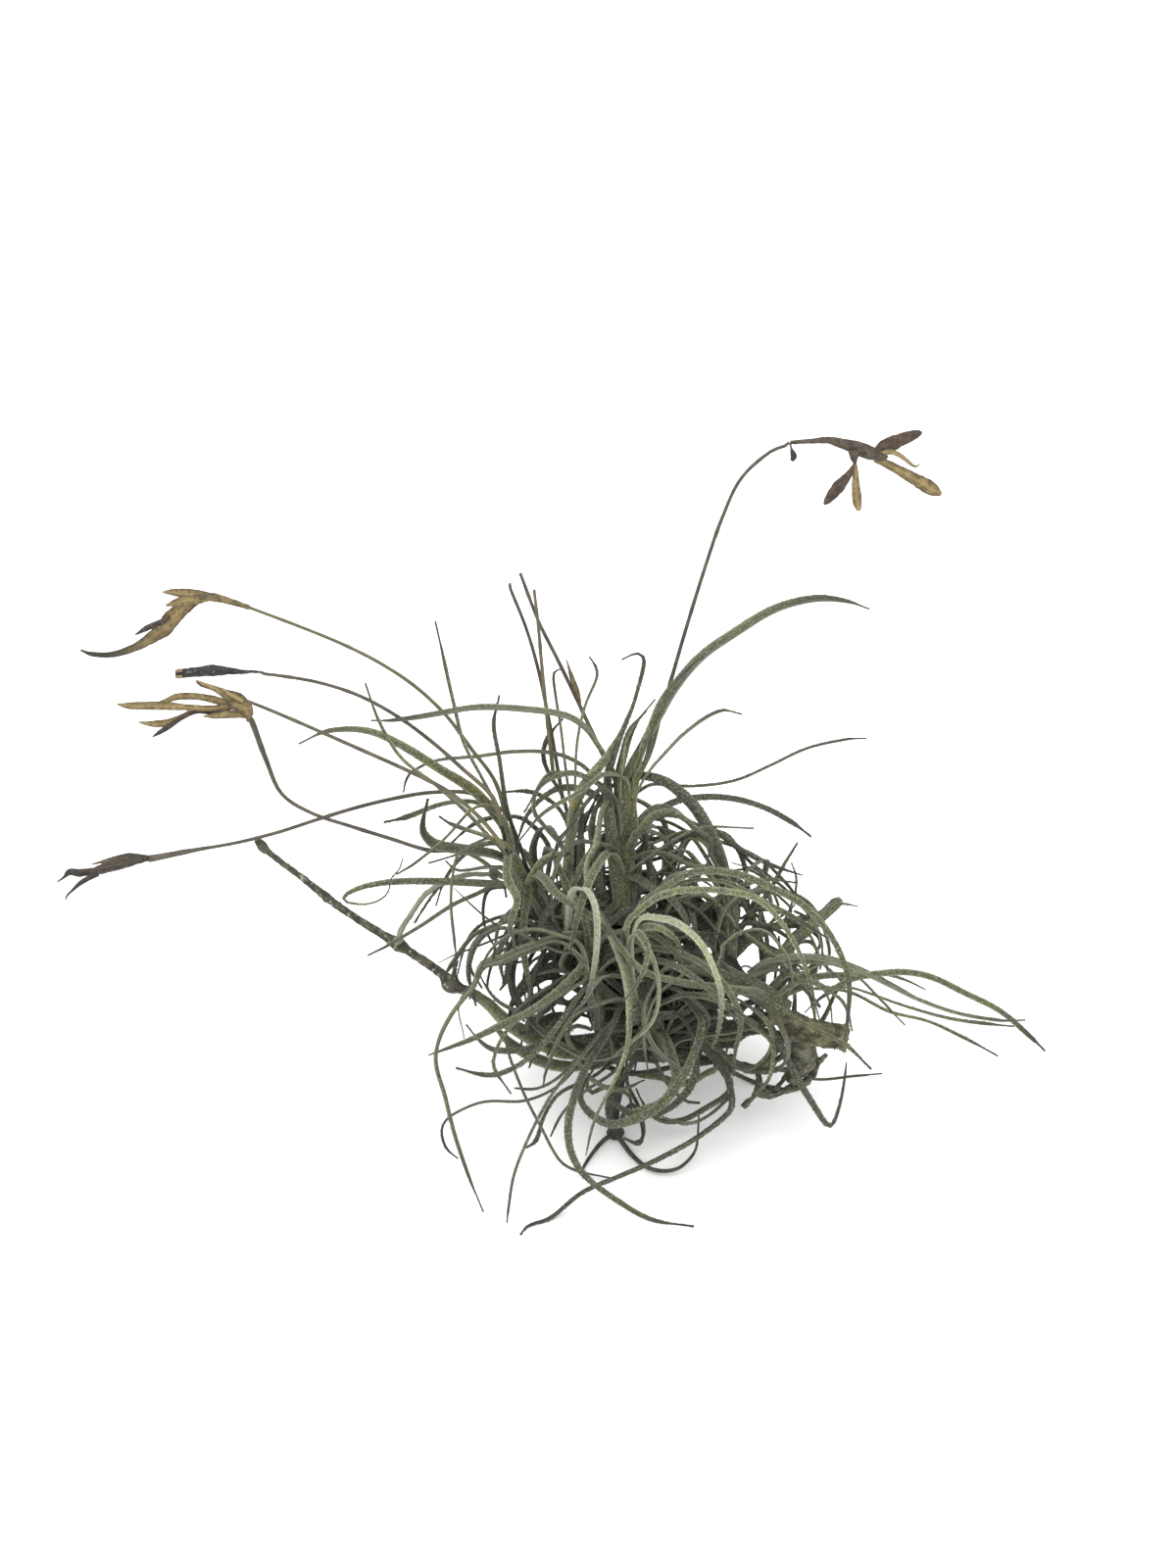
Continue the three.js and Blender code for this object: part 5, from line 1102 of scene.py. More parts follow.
# Dry bracts on the stalks: the side that shows, how dark they are, and their points as
# (across, up, depth, width).
STALK_BRACTS = {
    "stalk_young_middle": (
        ("inner", 0.55, [
            (-9.6, 48.5, -4.4, 0.5), (-10.3, 51, -4.2, 1.0), (-11.4, 54, -4.4, 0.8),
            (-12.4, 57.4, -5, 0.2)]),
    ),
    "stalk_left_bud": (
        ("inner", 0.3, [
            (-77, 48.2, 9.4, 0.7), (-79.4, 49.6, 9.6, 1.9), (-81.6, 50.2, 9.6, 1.7),
            (-84, 51.4, 9.4, 1.0), (-86.4, 52.4, 9.2, 0.6), (-88, 53.2, 9, 0.3)]),
        ("inner", 0.2, [(-78.4, 49, 9.8, 0.8), (-80.6, 50, 10, 1.0), (-83, 51.6, 10, 0.4)]),
    ),
    "stalk_tall": (
        ("outer", 1.0, [
            (33.3, 101.5, -12.2, 0.3), (33.5, 100.5, -11.9, 0.35), (33.8, 99.6, -11.8, 0.9),
            (34.1, 98.7, -11.7, 1.2), (33.6, 97.9, -11.6, 0.8)]),
    ),
}


def build_stalk(node, finishes):
    draw = random.Random(node)
    strand = whole_strand(node)
    line = smooth([centre for centre, _ in strand], 1.5 * MM)
    girth = strand[0][1] * STALK_GIRTH
    last = len(line) - 1
    sheath_from, sheath_girth = SHEATHED_STALKS.get(node, (0, 0))
    radii = []
    for i in range(last + 1):
        along = i / last
        off_joint = (along * STALK_JOINTS) % 1 - 0.5
        joint = JOINT_GIRTH * math.exp(-(off_joint / JOINT_SPREAD) ** 2)
        sheathed = sheath_girth * max(0, (along - sheath_from) / (1 - sheath_from))
        radii.append(girth * (1.12 - 0.3 * along + joint + sheathed))
    stalk = tubes(f"wiry_{node}", [(line, radii)], STALK_SIDES, finishes["stalk"], rough=0.07 * MM,
                  tones=[GOLDEN_STALKS.get(node, 0.0)])
    bracts = Surface()
    for shows, dark, path in STALK_BRACTS.get(node, ()):
        add_valve(bracts, shows, dark, dark, path, draw)
    if bracts.verts:
        joined(stalk, [bracts.piece(f"{node}_bracts", [finishes["straw"], finishes["capsule"]])])
    return fit(stalk, "stalk", node)


# ------------------------------------------------------------------ capsule heads

VALVE_STEP = 0.5 * MM
THINNEST_VALVE = 0.1 * MM
VALVE_WIDER = 1.18          # the trough of a valve narrows it by this much as seen
RAGGED = 0.09

# Each head: its slot, the finish and the tone of its neck, its round necks as (across, up,
# depth, width), and its valves: the side that shows, how dark they are at the root and at the
# tip, and their points.
HEADS = {
    "capsules_tall": (
        "dark_capsule", "neck", 0.1,
        [
            [
                (33.2, 101.7, -12.2, 0.8), (37, 101.95, -12, 0.95), (41.2, 102.1, -12, 1.45),
                (43.8, 101.5, -12, 2.0), (46.4, 100.7, -12, 2.7), (48.5, 100, -12, 3.0),
                (50, 99.4, -12, 2.7), (52, 98.9, -12, 1.8), (53, 98.5, -12, 1.0)],
            [(46.3, 100.2, -11.5, 2.6), (46.3, 98.7, -11, 1.7), (46.5, 97.2, -10, 0.55)],
        ],
        [
            ("outer", 0.6, 0.4, [
                (46.5, 97.4, -10, 0.5), (45.3, 95.3, -9, 1.2), (43.4, 93, -8, 2.2),
                (41.8, 91, -7.4, 1.8), (40.7, 89.6, -7, 1.2), (40.2, 89, -7, 0.4)]),
            ("inner", 0.4, 0.1, [
                (46.5, 97.3, -10, 0.6), (46.6, 95.7, -9.8, 0.95), (46.6, 93.5, -9.4, 1.3),
                (46.8, 91, -9.2, 1.6), (47, 89.2, -9, 1.5), (47.3, 87.8, -9, 0.6)]),
            ("outer", 0.7, 0.4, [
                (50.6, 99.7, -12.4, 1.2), (52.2, 100.6, -13, 2.4), (53.9, 101.4, -13.6, 2.6),
                (56, 102.3, -14.2, 2.2), (58.2, 103.1, -14.7, 1.8), (59.6, 103.6, -15, 1.2),
                (60.2, 103.7, -15, 0.4)]),
            ("inner", 0.0, 0.6, [
                (51.4, 99.2, -12, 0.9), (53.7, 99.8, -11.4, 0.95), (55.6, 99.1, -10.6, 0.75),
                (57, 98.1, -10, 0.7), (58.3, 97, -9.4, 0.5), (59.2, 96.85, -9, 0.35),
                (59.6, 97.3, -9, 0.2)]),
            ("inner", 0.3, 0.0, [
                (50.4, 98.2, -12, 0.8), (52.8, 97.4, -12.4, 1.4), (55.5, 96, -13, 1.6),
                (58, 94.6, -13.8, 2.0), (60.7, 93.1, -14.4, 2.5), (62.5, 92, -14.8, 2.2),
                (64, 91.1, -15, 0.7)]),
        ],
    ),
    "capsules_left_upper": (
        "straw_capsule", "neck", 0.7,
        [
            [
                (-77.1, 68.0, -5.9, 0.9), (-79.5, 68.8, -6, 1.2), (-82, 69.5, -6, 1.5),
                (-84.5, 70.1, -6, 1.8), (-87, 70.2, -6, 1.6), (-88.6, 69.9, -6, 1.1)],
        ],
        [
            ("inner", 0.1, 0.2, [
                (-85, 70.3, -6, 1.2), (-87.5, 70.5, -6, 1.8), (-90.5, 70.8, -6.2, 1.8),
                (-93, 71.1, -6.4, 1.2), (-94.9, 71.1, -6.6, 0.3)]),
            ("inner", 0.2, 0.4, [
                (-85, 70, -5.6, 1.0), (-88, 69.6, -5, 1.6), (-90.5, 69.4, -4.4, 1.8),
                (-92.5, 68.9, -3.8, 1.2), (-94.2, 68.4, -3.2, 0.3)]),
            ("inner", 0.2, 1.0, [
                (-87, 70, -6, 1.2), (-90, 68.3, -6.4, 2.3), (-92.7, 66, -6.8, 2.9),
                (-94.5, 63.8, -7.2, 2.9), (-98, 61.3, -7.6, 1.8), (-100.5, 59.9, -7.8, 1.4),
                (-105, 58.5, -8, 1.1), (-109.4, 58.6, -8, 0.9), (-111.6, 59.4, -8, 0.35)]),
            ("outer", 0.6, 0.9, [
                (-93.2, 66, -6.4, 0.5), (-95.4, 65, -5.6, 1.0), (-98.2, 63.8, -4.8, 1.1),
                (-100.4, 62.5, -4.4, 0.3)]),
        ],
    ),
    "capsules_closed": (
        "dark_capsule", "closed_capsule", 0.0,
        [
            [
                (-75, 54.9, -0.3, 0.5), (-76.8, 54.9, 0, 0.65), (-79.2, 54.95, 0, 1.05),
                (-81.4, 55.1, 0, 1.6), (-84.4, 55.2, 0, 2.35), (-87.5, 54.9, 0, 2.1),
                (-90, 54.7, 0, 1.9), (-91.6, 54.55, 0, 1.85), (-92.1, 54.5, 0, 1.4)],
        ],
        [
            ("inner", 0.1, 0.1, [
                (-90.8, 55.1, 0.9, 0.5), (-91.6, 55.1, 0.9, 0.7), (-92.2, 55, 0.7, 0.4)]),
            ("inner", 0.3, 0.0, [
                (-90.8, 54, 0.9, 0.5), (-91.6, 53.9, 0.9, 0.7), (-92.2, 53.9, 0.7, 0.35)]),
        ],
    ),
    "capsules_left_lower": (
        "straw_capsule", "neck", 0.85,
        [
            [
                (-77.2, 44.8, -0.8, 1.1), (-77.3, 46.2, -0.8, 1.6), (-78, 47.4, -1, 2.1),
                (-79.2, 48.1, -1, 2.6), (-80.6, 48.2, -1, 2.3), (-82, 48, -1, 1.5)],
        ],
        [
            ("inner", 0.1, 0.2, [
                (-77, 45.8, 0.1, 1.2), (-78, 47.6, 0.7, 2.6), (-79.8, 49, 0.8, 2.6),
                (-81.8, 49.7, 0.4, 0.7)]),
            ("inner", 0.2, 0.2, [
                (-81, 48.3, -1, 1.2), (-84.5, 49.3, -1.4, 1.4), (-88, 49.9, -1.4, 1.2),
                (-92, 49.8, -1.2, 1.2), (-94, 49, -1, 0.9), (-95.8, 48.5, -1, 0.5)]),
            ("inner", 0.1, 0.2, [
                (-81, 47.7, -0.8, 1.1), (-86, 47.5, 0, 1.0), (-90, 47.7, 1, 1.1), (-95, 48, 2, 1.5),
                (-99, 48, 2.6, 1.4), (-102, 48, 3, 1.1), (-104.1, 48.3, 3, 0.3)]),
            ("outer", 0.3, 1.0, [
                (-81.4, 47, -0.6, 0.9), (-85, 46.6, -0.2, 0.7), (-88, 46.7, 0, 0.7),
                (-91, 45.5, 0.2, 0.9), (-93.5, 43.8, 0.1, 1.0), (-95.5, 42.5, 0, 0.8),
                (-96.9, 41.6, 0, 0.2)]),
            ("inner", 0.0, 0.3, [
                (-83, 47, -1.6, 0.8), (-88.5, 46.9, -2.4, 0.8), (-91, 45.6, -3, 1.0),
                (-94, 44.5, -3.6, 1.3), (-97, 44.3, -4, 1.1), (-99.7, 44.6, -4, 0.3)]),
            ("inner", 0.0, 0.1, [
                (-77.8, 46, -0.2, 1.0), (-81, 46.3, 0.2, 1.4), (-84, 46, 0.4, 1.2),
                (-86.5, 45.8, 0.5, 0.3)]),
        ],
    ),
    "capsules_left_long": (
        "dark_capsule", "capsule", 0.6,
        [
            [
                (-97.7, 16.7, -1.7, 0.95), (-99.5, 16.6, -2, 1.8), (-102, 16.1, -2, 2.4),
                (-105, 15.3, -2, 2.4), (-107.5, 14.5, -2, 2.1), (-109.4, 13.9, -2, 1.4)],
        ],
        [
            ("inner", 0.75, 0.5, [
                (-97.6, 17.1, -2.4, 0.6), (-101.6, 17.3, -3, 1.1), (-105.4, 16.5, -3.8, 0.9),
                (-109.3, 15.6, -4.4, 0.25)]),
            ("outer", 1.0, 1.0, [
                (-108.2, 14.4, -2, 1.0), (-111.9, 13.8, -2, 1.5), (-113.8, 14, -2, 1.3),
                (-114.9, 13, -2, 0.5), (-116.3, 12, -2, 0.25)]),
            ("outer", 0.9, 1.0, [
                (-108, 13.8, -1.8, 1.1), (-111.4, 11.9, -1.2, 0.9), (-113.2, 10.3, -0.6, 0.5),
                (-114.3, 9.2, -0.2, 0.4), (-114.6, 8.4, 0, 0.25)]),
            ("inner", 0.75, 0.7, [
                (-99, 16.6, -0.8, 0.6), (-103, 15.8, -0.6, 1.1), (-107.5, 14.7, -0.9, 0.3)]),
        ],
    ),
}


def table_line(path, step):
    """A table's points as a smooth line in metres, with the half width at each."""
    rough = [place(*point[:3]) for point in path]
    line = smooth(rough, step)
    widths = [point[3] for point in path]
    return line, [value_near(rough, widths, point) / 2 * MM for point in line]


def add_valve(surface, shows, dark_root, dark_tip, path, draw):
    """A split capsule's valve, a thin trough: straw inside, brown outside."""
    line, halves = table_line(path, VALVE_STEP)
    last = len(line) - 1
    widths = []
    for point, half in zip(line, halves):
        torn = 1 + RAGGED * (noise.noise(point * 1500) + 0.5 * noise.noise(point * 4000))
        widths.append(max(THINNEST_VALVE, half * torn * VALVE_WIDER))
    tones = [between(dark_root, dark_tip, (i / last) ** 1.6) for i in range(last + 1)]
    face = TOWARDS if shows == "inner" else -TOWARDS
    face = (face + UP * draw.uniform(-0.25, 0.25)).normalized()
    loft_blade(surface, line, widths, face, tones, draw.uniform(-0.3, 0.3), keel=0.55, flesh=0.2,
               finish_of=lambda k: 1 if k < len(UNDER) - 1 else 0)


def build_head(node, finishes):
    slot, neck_finish, tone, necks, valves = HEADS[node]
    draw = random.Random(node)
    strands = [table_line(path, VALVE_STEP) for path in necks]
    neck = tubes(f"{node}_neck", strands, 12, finishes[neck_finish], rough=0.3 * MM,
                 tones=[tone] * len(strands))
    surface = Surface()
    for valve in valves:
        add_valve(surface, *valve, draw)
    piece = surface.piece(f"split_{node}", [finishes["straw"], finishes["capsule"]])
    return fit(joined(piece, [neck]), slot, node)


# ------------------------------------------------------------------ twig, bark, roots, foot

TWIG_PATH = [
    (-75.6, 20.6, -10), (-73.6, 18.4, -10), (-66, 12.6, -9), (-58, 6.4, -8), (-46, -1.2, -8),
    (-38, -6.6, -8), (-35.6, -9, -8), (-31, -11, -8), (-25, -16, -9), (-16, -20.4, -11),
    (-4, -23, -15), (6, -24, -19)]
TWIG_KNOTS = ((0.02, 1.7), (0.19, 1.35), (0.37, 1.7), (0.51, 2.0), (0.76, 1.2))
TWIG_RADII = (0.6, 1.1)         # at its thin end and in the clump
TWIG_RINGS = 130
SIDE_SHOOT = [
    (-47, -0.6, -8), (-46, 2.4, -7), (-44, 5.6, -5), (-41, 9.6, -3), (-37, 12, -1.6),
    (-33, 13.4, -1.6), (-29, 13.6, -1.6), (-26, 13.2, -1), (-22.6, 12.2, 0.6)]
SPUR = [(-35.4, -8, -7.6), (-35.2, -5.6, -6.8), (-34.6, -4, -6.6)]
PRONG = [(-43.4, 3.6, -4), (-41.4, 6.9, -3.6), (-39.1, 10, -2.6), (-37.4, 11.6, -1.8)]
KNOT_SPREAD = 0.016
# What grows from the twig: its path, the step along it, its radius and how much of that it
# loses on the way, in millimetres.
TWIGLETS = ((SIDE_SHOOT, 0.6, 0.62, 0.1), (SPUR, 0.5, 0.6, 0.25), (PRONG, 0.6, 0.24, 0))
TWIG_TONES = (0.2, 1.0, 0.5, 0.0)


def build_twig(finishes):
    line = smooth(route(TWIG_PATH), 0.5 * MM)
    last = len(line) - 1
    radii = []
    for i, point in enumerate(line):
        along = i / last
        swell = 1 + sum(
            (size - 1) * math.exp(-(((along - spot) / KNOT_SPREAD) ** 2))
            for spot, size in TWIG_KNOTS)
        ringed = 1 + 0.12 * math.sin(along * TWIG_RINGS) * noise.noise(point * 300)
        radii.append(between(*TWIG_RADII, min(1, along * 1.6)) * MM * swell * ringed)
    strands = [(line, radii)]
    for path, step, thick, loses in TWIGLETS:
        line = smooth(route(path), step * MM)
        last = len(line) - 1
        strands.append((line, [MM * (thick - loses * i / last) for i in range(last + 1)]))
    piece = tubes("barked_twig", strands, 14, finishes["twig"], rough=0.45 * MM, grain=0.9 * MM,
                  tones=TWIG_TONES)
    return fit(piece, "twig", "twig")


# Points of the bark stub and of the old stems, as (across, up, depth, radius).
BARK_PATH = [
    (44.6, -19.8, 3, 2.75), (41.8, -19.4, 3.4, 2.85), (37.6, -18.4, 4, 2.5), (33, -16.2, 5.2, 2.1),
    (29, -14.8, 6, 1.7)]
OLD_STEMS = (
    [
        (18.4, -20.6, -9, 1.0), (22.6, -18.6, -8, 0.95), (26.6, -18, -7, 0.85),
        (29.2, -18.6, -6, 0.7), (30.4, -20.6, -6, 0.6), (29.2, -23.6, -7, 0.55),
        (30, -25.2, -8, 0.6)],
    [
        (17.6, -25.6, -10, 0.5), (21.6, -25.6, -10, 0.6), (24.6, -25.6, -10, 0.75),
        (26.6, -26.4, -10, 0.9), (30, -26.4, -9, 0.6), (33, -26.4, -8, 0.7), (36, -27, -7, 0.9)],
    [
        (26.6, -26.4, -10, 0.85), (26.8, -29.4, -10, 0.8), (26.6, -30.6, -10, 0.95),
        (25.4, -32.2, -10, 0.75), (23.6, -34, -10, 0.6)],
    [
        (26.8, -31, -10, 0.95), (29.2, -31.4, -9.6, 0.75), (32.4, -30.4, -9, 0.8),
        (35.4, -29.4, -8, 0.9), (37.6, -27.6, -7, 0.8), (38.8, -25, -6, 0.6),
        (40.6, -23.2, -5, 0.4)],
    [
        (28, -30.2, -9, 0.5), (30.4, -30.2, -8.6, 0.45), (31.6, -28.6, -8, 0.5),
        (33, -26.8, -8, 0.65)],
    [
        (33.6, -17, 2.4, 2.0), (35.4, -20.2, 0, 2.5), (36, -23.6, -3, 2.3), (34.8, -26.6, -6, 1.7),
        (33.4, -29, -7, 1.1)],
)
FLAKES = 46                     # scraps of bark round the cut end and under the stub,
CUT_FLAKES = 0.6                # and the share of them at the cut end
FLAKE_LENGTH = (0.5 * MM, 1.5 * MM)


def table_tube(path, step, lumps, grain=260):
    """A table's points as a line, with radii that swell and narrow along it."""
    line, halves = table_line(path, step)
    return line, [
        2 * half * (1 + lumps * noise.noise(point * grain)) for point, half in zip(line, halves)]


def build_bark(finishes):
    draw = random.Random(SEED)
    line, radii = table_tube(BARK_PATH, 0.4 * MM, 0.14, 350)
    stub = tubes("cut_bark_stub", [(line, radii)], 30, finishes["bark"], rough=1.1 * MM,
                 grain=1.5 * MM, tones=[0.5])
    flakes = Surface()
    for _ in range(FLAKES):
        at_cut = draw.random() < CUT_FLAKES
        i = 1 if at_cut else draw.randrange(2, len(line) - 4)
        heading = along_line(line, i)
        spoke = square_to(heading, UP).normalized()
        turns = (0, 2 * math.pi) if at_cut else (math.pi - 1, math.pi + 1)
        out = Quaternion(heading, draw.uniform(*turns)) @ spoke
        root = line[i] + out * radii[i] * 0.9
        lean = (out * draw.uniform(0.2, 1) - heading * draw.uniform(0, 1.4)).normalized()
        tip = root + lean * draw.uniform(*FLAKE_LENGTH)
        flakes.hair(root - lean * 0.4 * MM, tip, draw.uniform(0.25, 0.6) * MM, 0, 0.5, 0)
    stub = joined(stub, [flakes.piece("bark_flakes", [finishes["bark"]])])
    fit(stub, "bark", "bark_stub")
    strands = [table_tube(path, 0.45 * MM, 0.5) for path in OLD_STEMS]
    stems = tubes("dry_old_stems", strands, 14, finishes["old_stem"], rough=0.8 * MM,
                  grain=1.1 * MM)
    fit(stems, "bark", "old_stems")


ROOT_HUB = (1, -19.5, -2)
CUT_SHOOT = "shoot_right"
ROOTLETS_EACH = 5
ROOTLET_BOW = 0.22              # how far they bow, as a share of their length
GRIP = (0.72, 0.92)             # stretch of the twig that roots are wound round
COILS = 3
COIL_TURN = 0.42                # from one step along the twig to the next
COIL_APART = 2.1
# Curly roots: their middle and their size.
CURLS = (
    (12.6, -8, 9, 1.0), (17.6, -9, 8, 1.3), (11.4, -12, 9, 0.9), (20, -11, 8, 1.1),
    (15, -5, 8, 1.2), (22.6, -13.6, 6, 0.9), (9, -6.6, 9, 1.1), (14.6, -13.6, 8, 1.2),
    (24.4, -6.8, 7, 1.0), (18.6, -5.4, 6, 0.8),
)


def scatter(draw):
    return Vector([draw.uniform(-1, 1) for _ in range(3)])


def build_roots(finishes):
    """Wiry roots from the middle of the clump to the base of each stem, and round the twig."""
    draw = random.Random(SEED)
    hub = place(*ROOT_HUB)
    bases = [place(*path[0]) for node, (_, _, path) in SHOOTS.items() if node != CUT_SHOOT]
    bases.append(place(*OLD_STEMS[0][0][:3]))
    strands = []
    for base in bases:
        for _ in range(ROOTLETS_EACH):
            bow = scatter(draw) * (base - hub).length * ROOTLET_BOW
            start = hub + scatter(draw) * 3 * MM
            end = base + scatter(draw) * 1.2 * MM
            line = smooth([start, start.lerp(end, 0.5) + bow, end], 1.6 * MM)
            strands.append((line, [draw.uniform(0.3, 0.6) * MM] * len(line)))
    twig = smooth(route(TWIG_PATH), 1.2 * MM)
    grip = twig[int(len(twig) * GRIP[0]): int(len(twig) * GRIP[1])]
    for turn in range(COILS):
        coil = []
        for i, point in enumerate(grip):
            heading = along_line(grip, i)
            spoke = square_to(heading, UP).normalized()
            side = heading.cross(spoke)
            angle = i * COIL_TURN + turn * COIL_APART
            coil.append(point + (spoke * math.cos(angle) + side * math.sin(angle)) * 1.2 * MM)
        coil = smooth(coil, 1.2 * MM)
        strands.append((coil, [0.3 * MM] * len(coil)))
    for across, up, depth, size in CURLS:
        start = draw.uniform(0, 6)
        curl = []
        for k in range(10):
            wide, angle = size * (1 + k / 7), start + k * 0.7
            curl.append(place(across + wide * math.cos(angle), up + wide * math.sin(angle),
                              depth - k * 0.5))
        curl = smooth(curl, 0.8 * MM)
        strands.append((curl, [0.2 * MM] * len(curl)))
    piece = tubes("wiry_roots", strands, 6, finishes["root"], rough=0.3 * MM)
    return fit(piece, "root", "roots")


FOOT_STUB = [(-1.4, -26, -7.2), (-1.4, -29, -8), (-2.4, -34, -9.6), (-2.6, -39.4, -10.7)]
KNOT_RADIUS = 1.9
KNOT_HEIGHT = 2.9


def build_foot(finishes):
    line = smooth(route(FOOT_STUB), 0.6 * MM)
    strands = [(line, [0.95 * MM * (1 + 0.15 * noise.noise(point * 500)) for point in line])]
    steps = [k / 10 for k in range(11)]
    knot = [Vector((0, 0, KNOT_HEIGHT * MM * share)) for share in steps]
    bulge = [KNOT_RADIUS * math.sin(math.pi * (0.22 + 0.7 * share)) for share in steps]
    strands.append((knot, [max(0.3, radius) * MM for radius in bulge]))
    for strand in pointed_strands("foot", 3):
        start = Vector((0, 0, 1.2 * MM))
        line = smooth([start] + [centre for centre, _ in reversed(strand)], 1.0 * MM)
        last = len(line) - 1
        strands.append((line, [MM * (0.55 - 0.38 * (i / last) ** 1.5) for i in range(last + 1)]))
    piece = tubes("root_foot", strands, 12, finishes["old_root"])
    return fit(piece, "root", "foot")


# ------------------------------------------------------------------ finishes

class Finish:
    """A material as it is wired: layers of colour, each laid over those before it."""

    def __init__(self, name, roughness, sheen=0.0, specular=0.35):
        self.material = bpy.data.materials.new(name)
        self.material.use_nodes = True
        self.tree = self.material.node_tree
        self.shader = self.tree.nodes["Principled BSDF"]
        self.colour = None
        settings = {"Roughness": roughness, "Specular IOR Level": specular}
        if sheen:
            settings.update({"Sheen Weight": sheen, "Sheen Roughness": 0.4,
                             "Sheen Tint": (0.85, 0.88, 0.78, 1)})
        self.set(self.shader, settings)
        self.coordinates = self.tree.nodes.new("ShaderNodeTexCoord").outputs["Object"]

    def set(self, node, settings):
        """Gives each named socket its value, or the result that is wired to it."""
        for socket, value in settings.items():
            if isinstance(value, bpy.types.NodeSocket):
                self.tree.links.new(value, node.inputs[socket])
            else:
                node.inputs[socket].default_value = value

    def attribute(self, name):
        node = self.tree.nodes.new("ShaderNodeAttribute")
        node.attribute_name = name
        return node.outputs["Fac"]

    def noise(self, scale, detail=3.0, roughness=0.6):
        node = self.tree.nodes.new("ShaderNodeTexNoise")
        self.set(node, {"Scale": scale, "Detail": detail, "Roughness": roughness,
                        "Vector": self.coordinates})
        return node.outputs["Fac"]

    def fade(self, value, low, high, most=1.0):
        """Nothing at the low value, rising softly to the most at the high one."""
        node = self.tree.nodes.new("ShaderNodeMapRange")
        node.interpolation_type = "SMOOTHSTEP"
        self.set(node, {"From Min": low, "From Max": high, "To Min": 0, "To Max": most,
                        "Value": value})
        return node.outputs["Result"]

    def patches(self, scale, detail, low, high, most=1.0):
        return self.fade(self.noise(scale, detail), low, high, most)

    def mix(self, share, first, second, blend="MIX"):
        node = self.tree.nodes.new("ShaderNodeMix")
        node.data_type = "RGBA"
        node.blend_type = blend
        self.tree.links.new(share, node.inputs["Factor"])
        colour_inputs = [socket for socket in node.inputs if socket.type == "RGBA"]
        for socket, value in zip(colour_inputs, (first, second)):
            if isinstance(value, bpy.types.NodeSocket):
                self.tree.links.new(value, socket)
            else:
                socket.default_value = (*value, 1)
        return [socket for socket in node.outputs if socket.type == "RGBA"][0]

    def lay(self, share, colour, blend="MIX"):
        self.colour = self.mix(share, self.colour, colour, blend)

    def bump(self, height, strength, distance):
        node = self.tree.nodes.new("ShaderNodeBump")
        self.set(node, {"Strength": strength, "Distance": distance * MM, "Height": height})
        self.set(self.shader, {"Normal": node.outputs["Normal"]})

    def paint(self):
        self.set(self.shader, {"Base Color": self.colour})
        return self.material


def scaled(colour, share):
    return tuple(min(1, level * share) for level in colour)


# Patches on a leaf, as what they multiply its colour by.
YELLOWED = (1.12, 1.06, 0.75)
LIVELY = (1.18, 1.13, 0.68)
BROWNED = (1.02, 0.84, 0.66)


def leaf_finish(name):
    """Grey green under silvery scurf, darker or paler by the leaf and by painted shade and light,
    brown and bare at the tip.
    """
    shade = colours()
    finish = Finish(name, roughness=0.8, sheen=0.2)
    along = finish.attribute("along")
    tone = finish.attribute("tone")
    edge = finish.attribute("edge")
    mottle = finish.fade(finish.noise(1300, 4, 0.7), 0.36, 0.6)
    scurf = finish.noise(3000, 3, 0.7)
    finish.colour = shade.dark_leaf
    # By tone: darker towards painted shade, paler towards scurf and painted light.
    finish.lay(finish.fade(tone, 0, 0.5), shade.leaf)
    finish.lay(finish.fade(tone, 0.5, 1), shade.pale_leaf)
    finish.lay(finish.patches(240, 4, 0.4, 0.64), YELLOWED, "MULTIPLY")
    finish.lay(finish.patches(110, 3, 0.5, 0.64), LIVELY, "MULTIPLY")
    finish.lay(finish.patches(85, 2, 0.44, 0.36, 0.55), BROWNED, "MULTIPLY")
    finish.lay(finish.fade(mottle, 1, 0, 0.62), scaled(shade.dark_leaf, 0.5))
    # Painted shade: the middle of each face of the blade, its channel and keel, darker.
    finish.lay(finish.fade(edge, 0.7, 0, 0.4), scaled(shade.dark_leaf, 0.7))
    finish.lay(finish.fade(scurf, 0.5, 0.68, 0.6), shade.scurf)
    # Paler edges: partly scurf, partly a painted highlight where the edges catch the light.
    scurf_and_highlight_rim = finish.mix(finish.fade(tone, 0, 0.6), shade.leaf, shade.scurf)
    finish.lay(finish.fade(edge, 0.6, 1, 0.4), scurf_and_highlight_rim)
    silver_spots = finish.fade(scurf, 0.42, 0.6)
    silver = finish.mix(silver_spots, scaled(shade.scurf, 0.7), scaled(shade.scurf, 1.4))
    finish.lay(finish.fade(tone, 0.88, 1, 0.65), silver)
    sheath = finish.mix(mottle, scaled(shade.sheath, 0.5), shade.sheath)
    # Painted shade: the sheaths of low-tone leaves darker, as deep in the clump.
    sheath = finish.mix(finish.fade(tone, 0.1, 0.5), scaled(shade.dark_leaf, 0.9), sheath)
    finish.lay(finish.fade(along, 0.22, 0.02, 0.75), sheath)
    finish.lay(finish.fade(along, 0.72, 1, 0.9), shade.thread)
    finish.bump(scurf, 0.6, 0.3)
    return finish.paint()


def scurf_finish():
    """The scales along the leaf edges."""
    shade = colours()
    finish = Finish("scurf", roughness=0.7, sheen=0.3)
    speck = finish.patches(1300, 2, 0.35, 0.65)
    pale = finish.mix(speck, scaled(shade.scurf, 0.55), shade.scurf)
    # The scales follow the leaf's tone, partly the leaf's own and partly painted shade and light:
    # dark on shaded leaves, pale on lit ones.
    finish.colour = shade.dark_leaf
    finish.lay(finish.fade(finish.attribute("tone"), 0.05, 0.75), pale)
    return finish.paint()


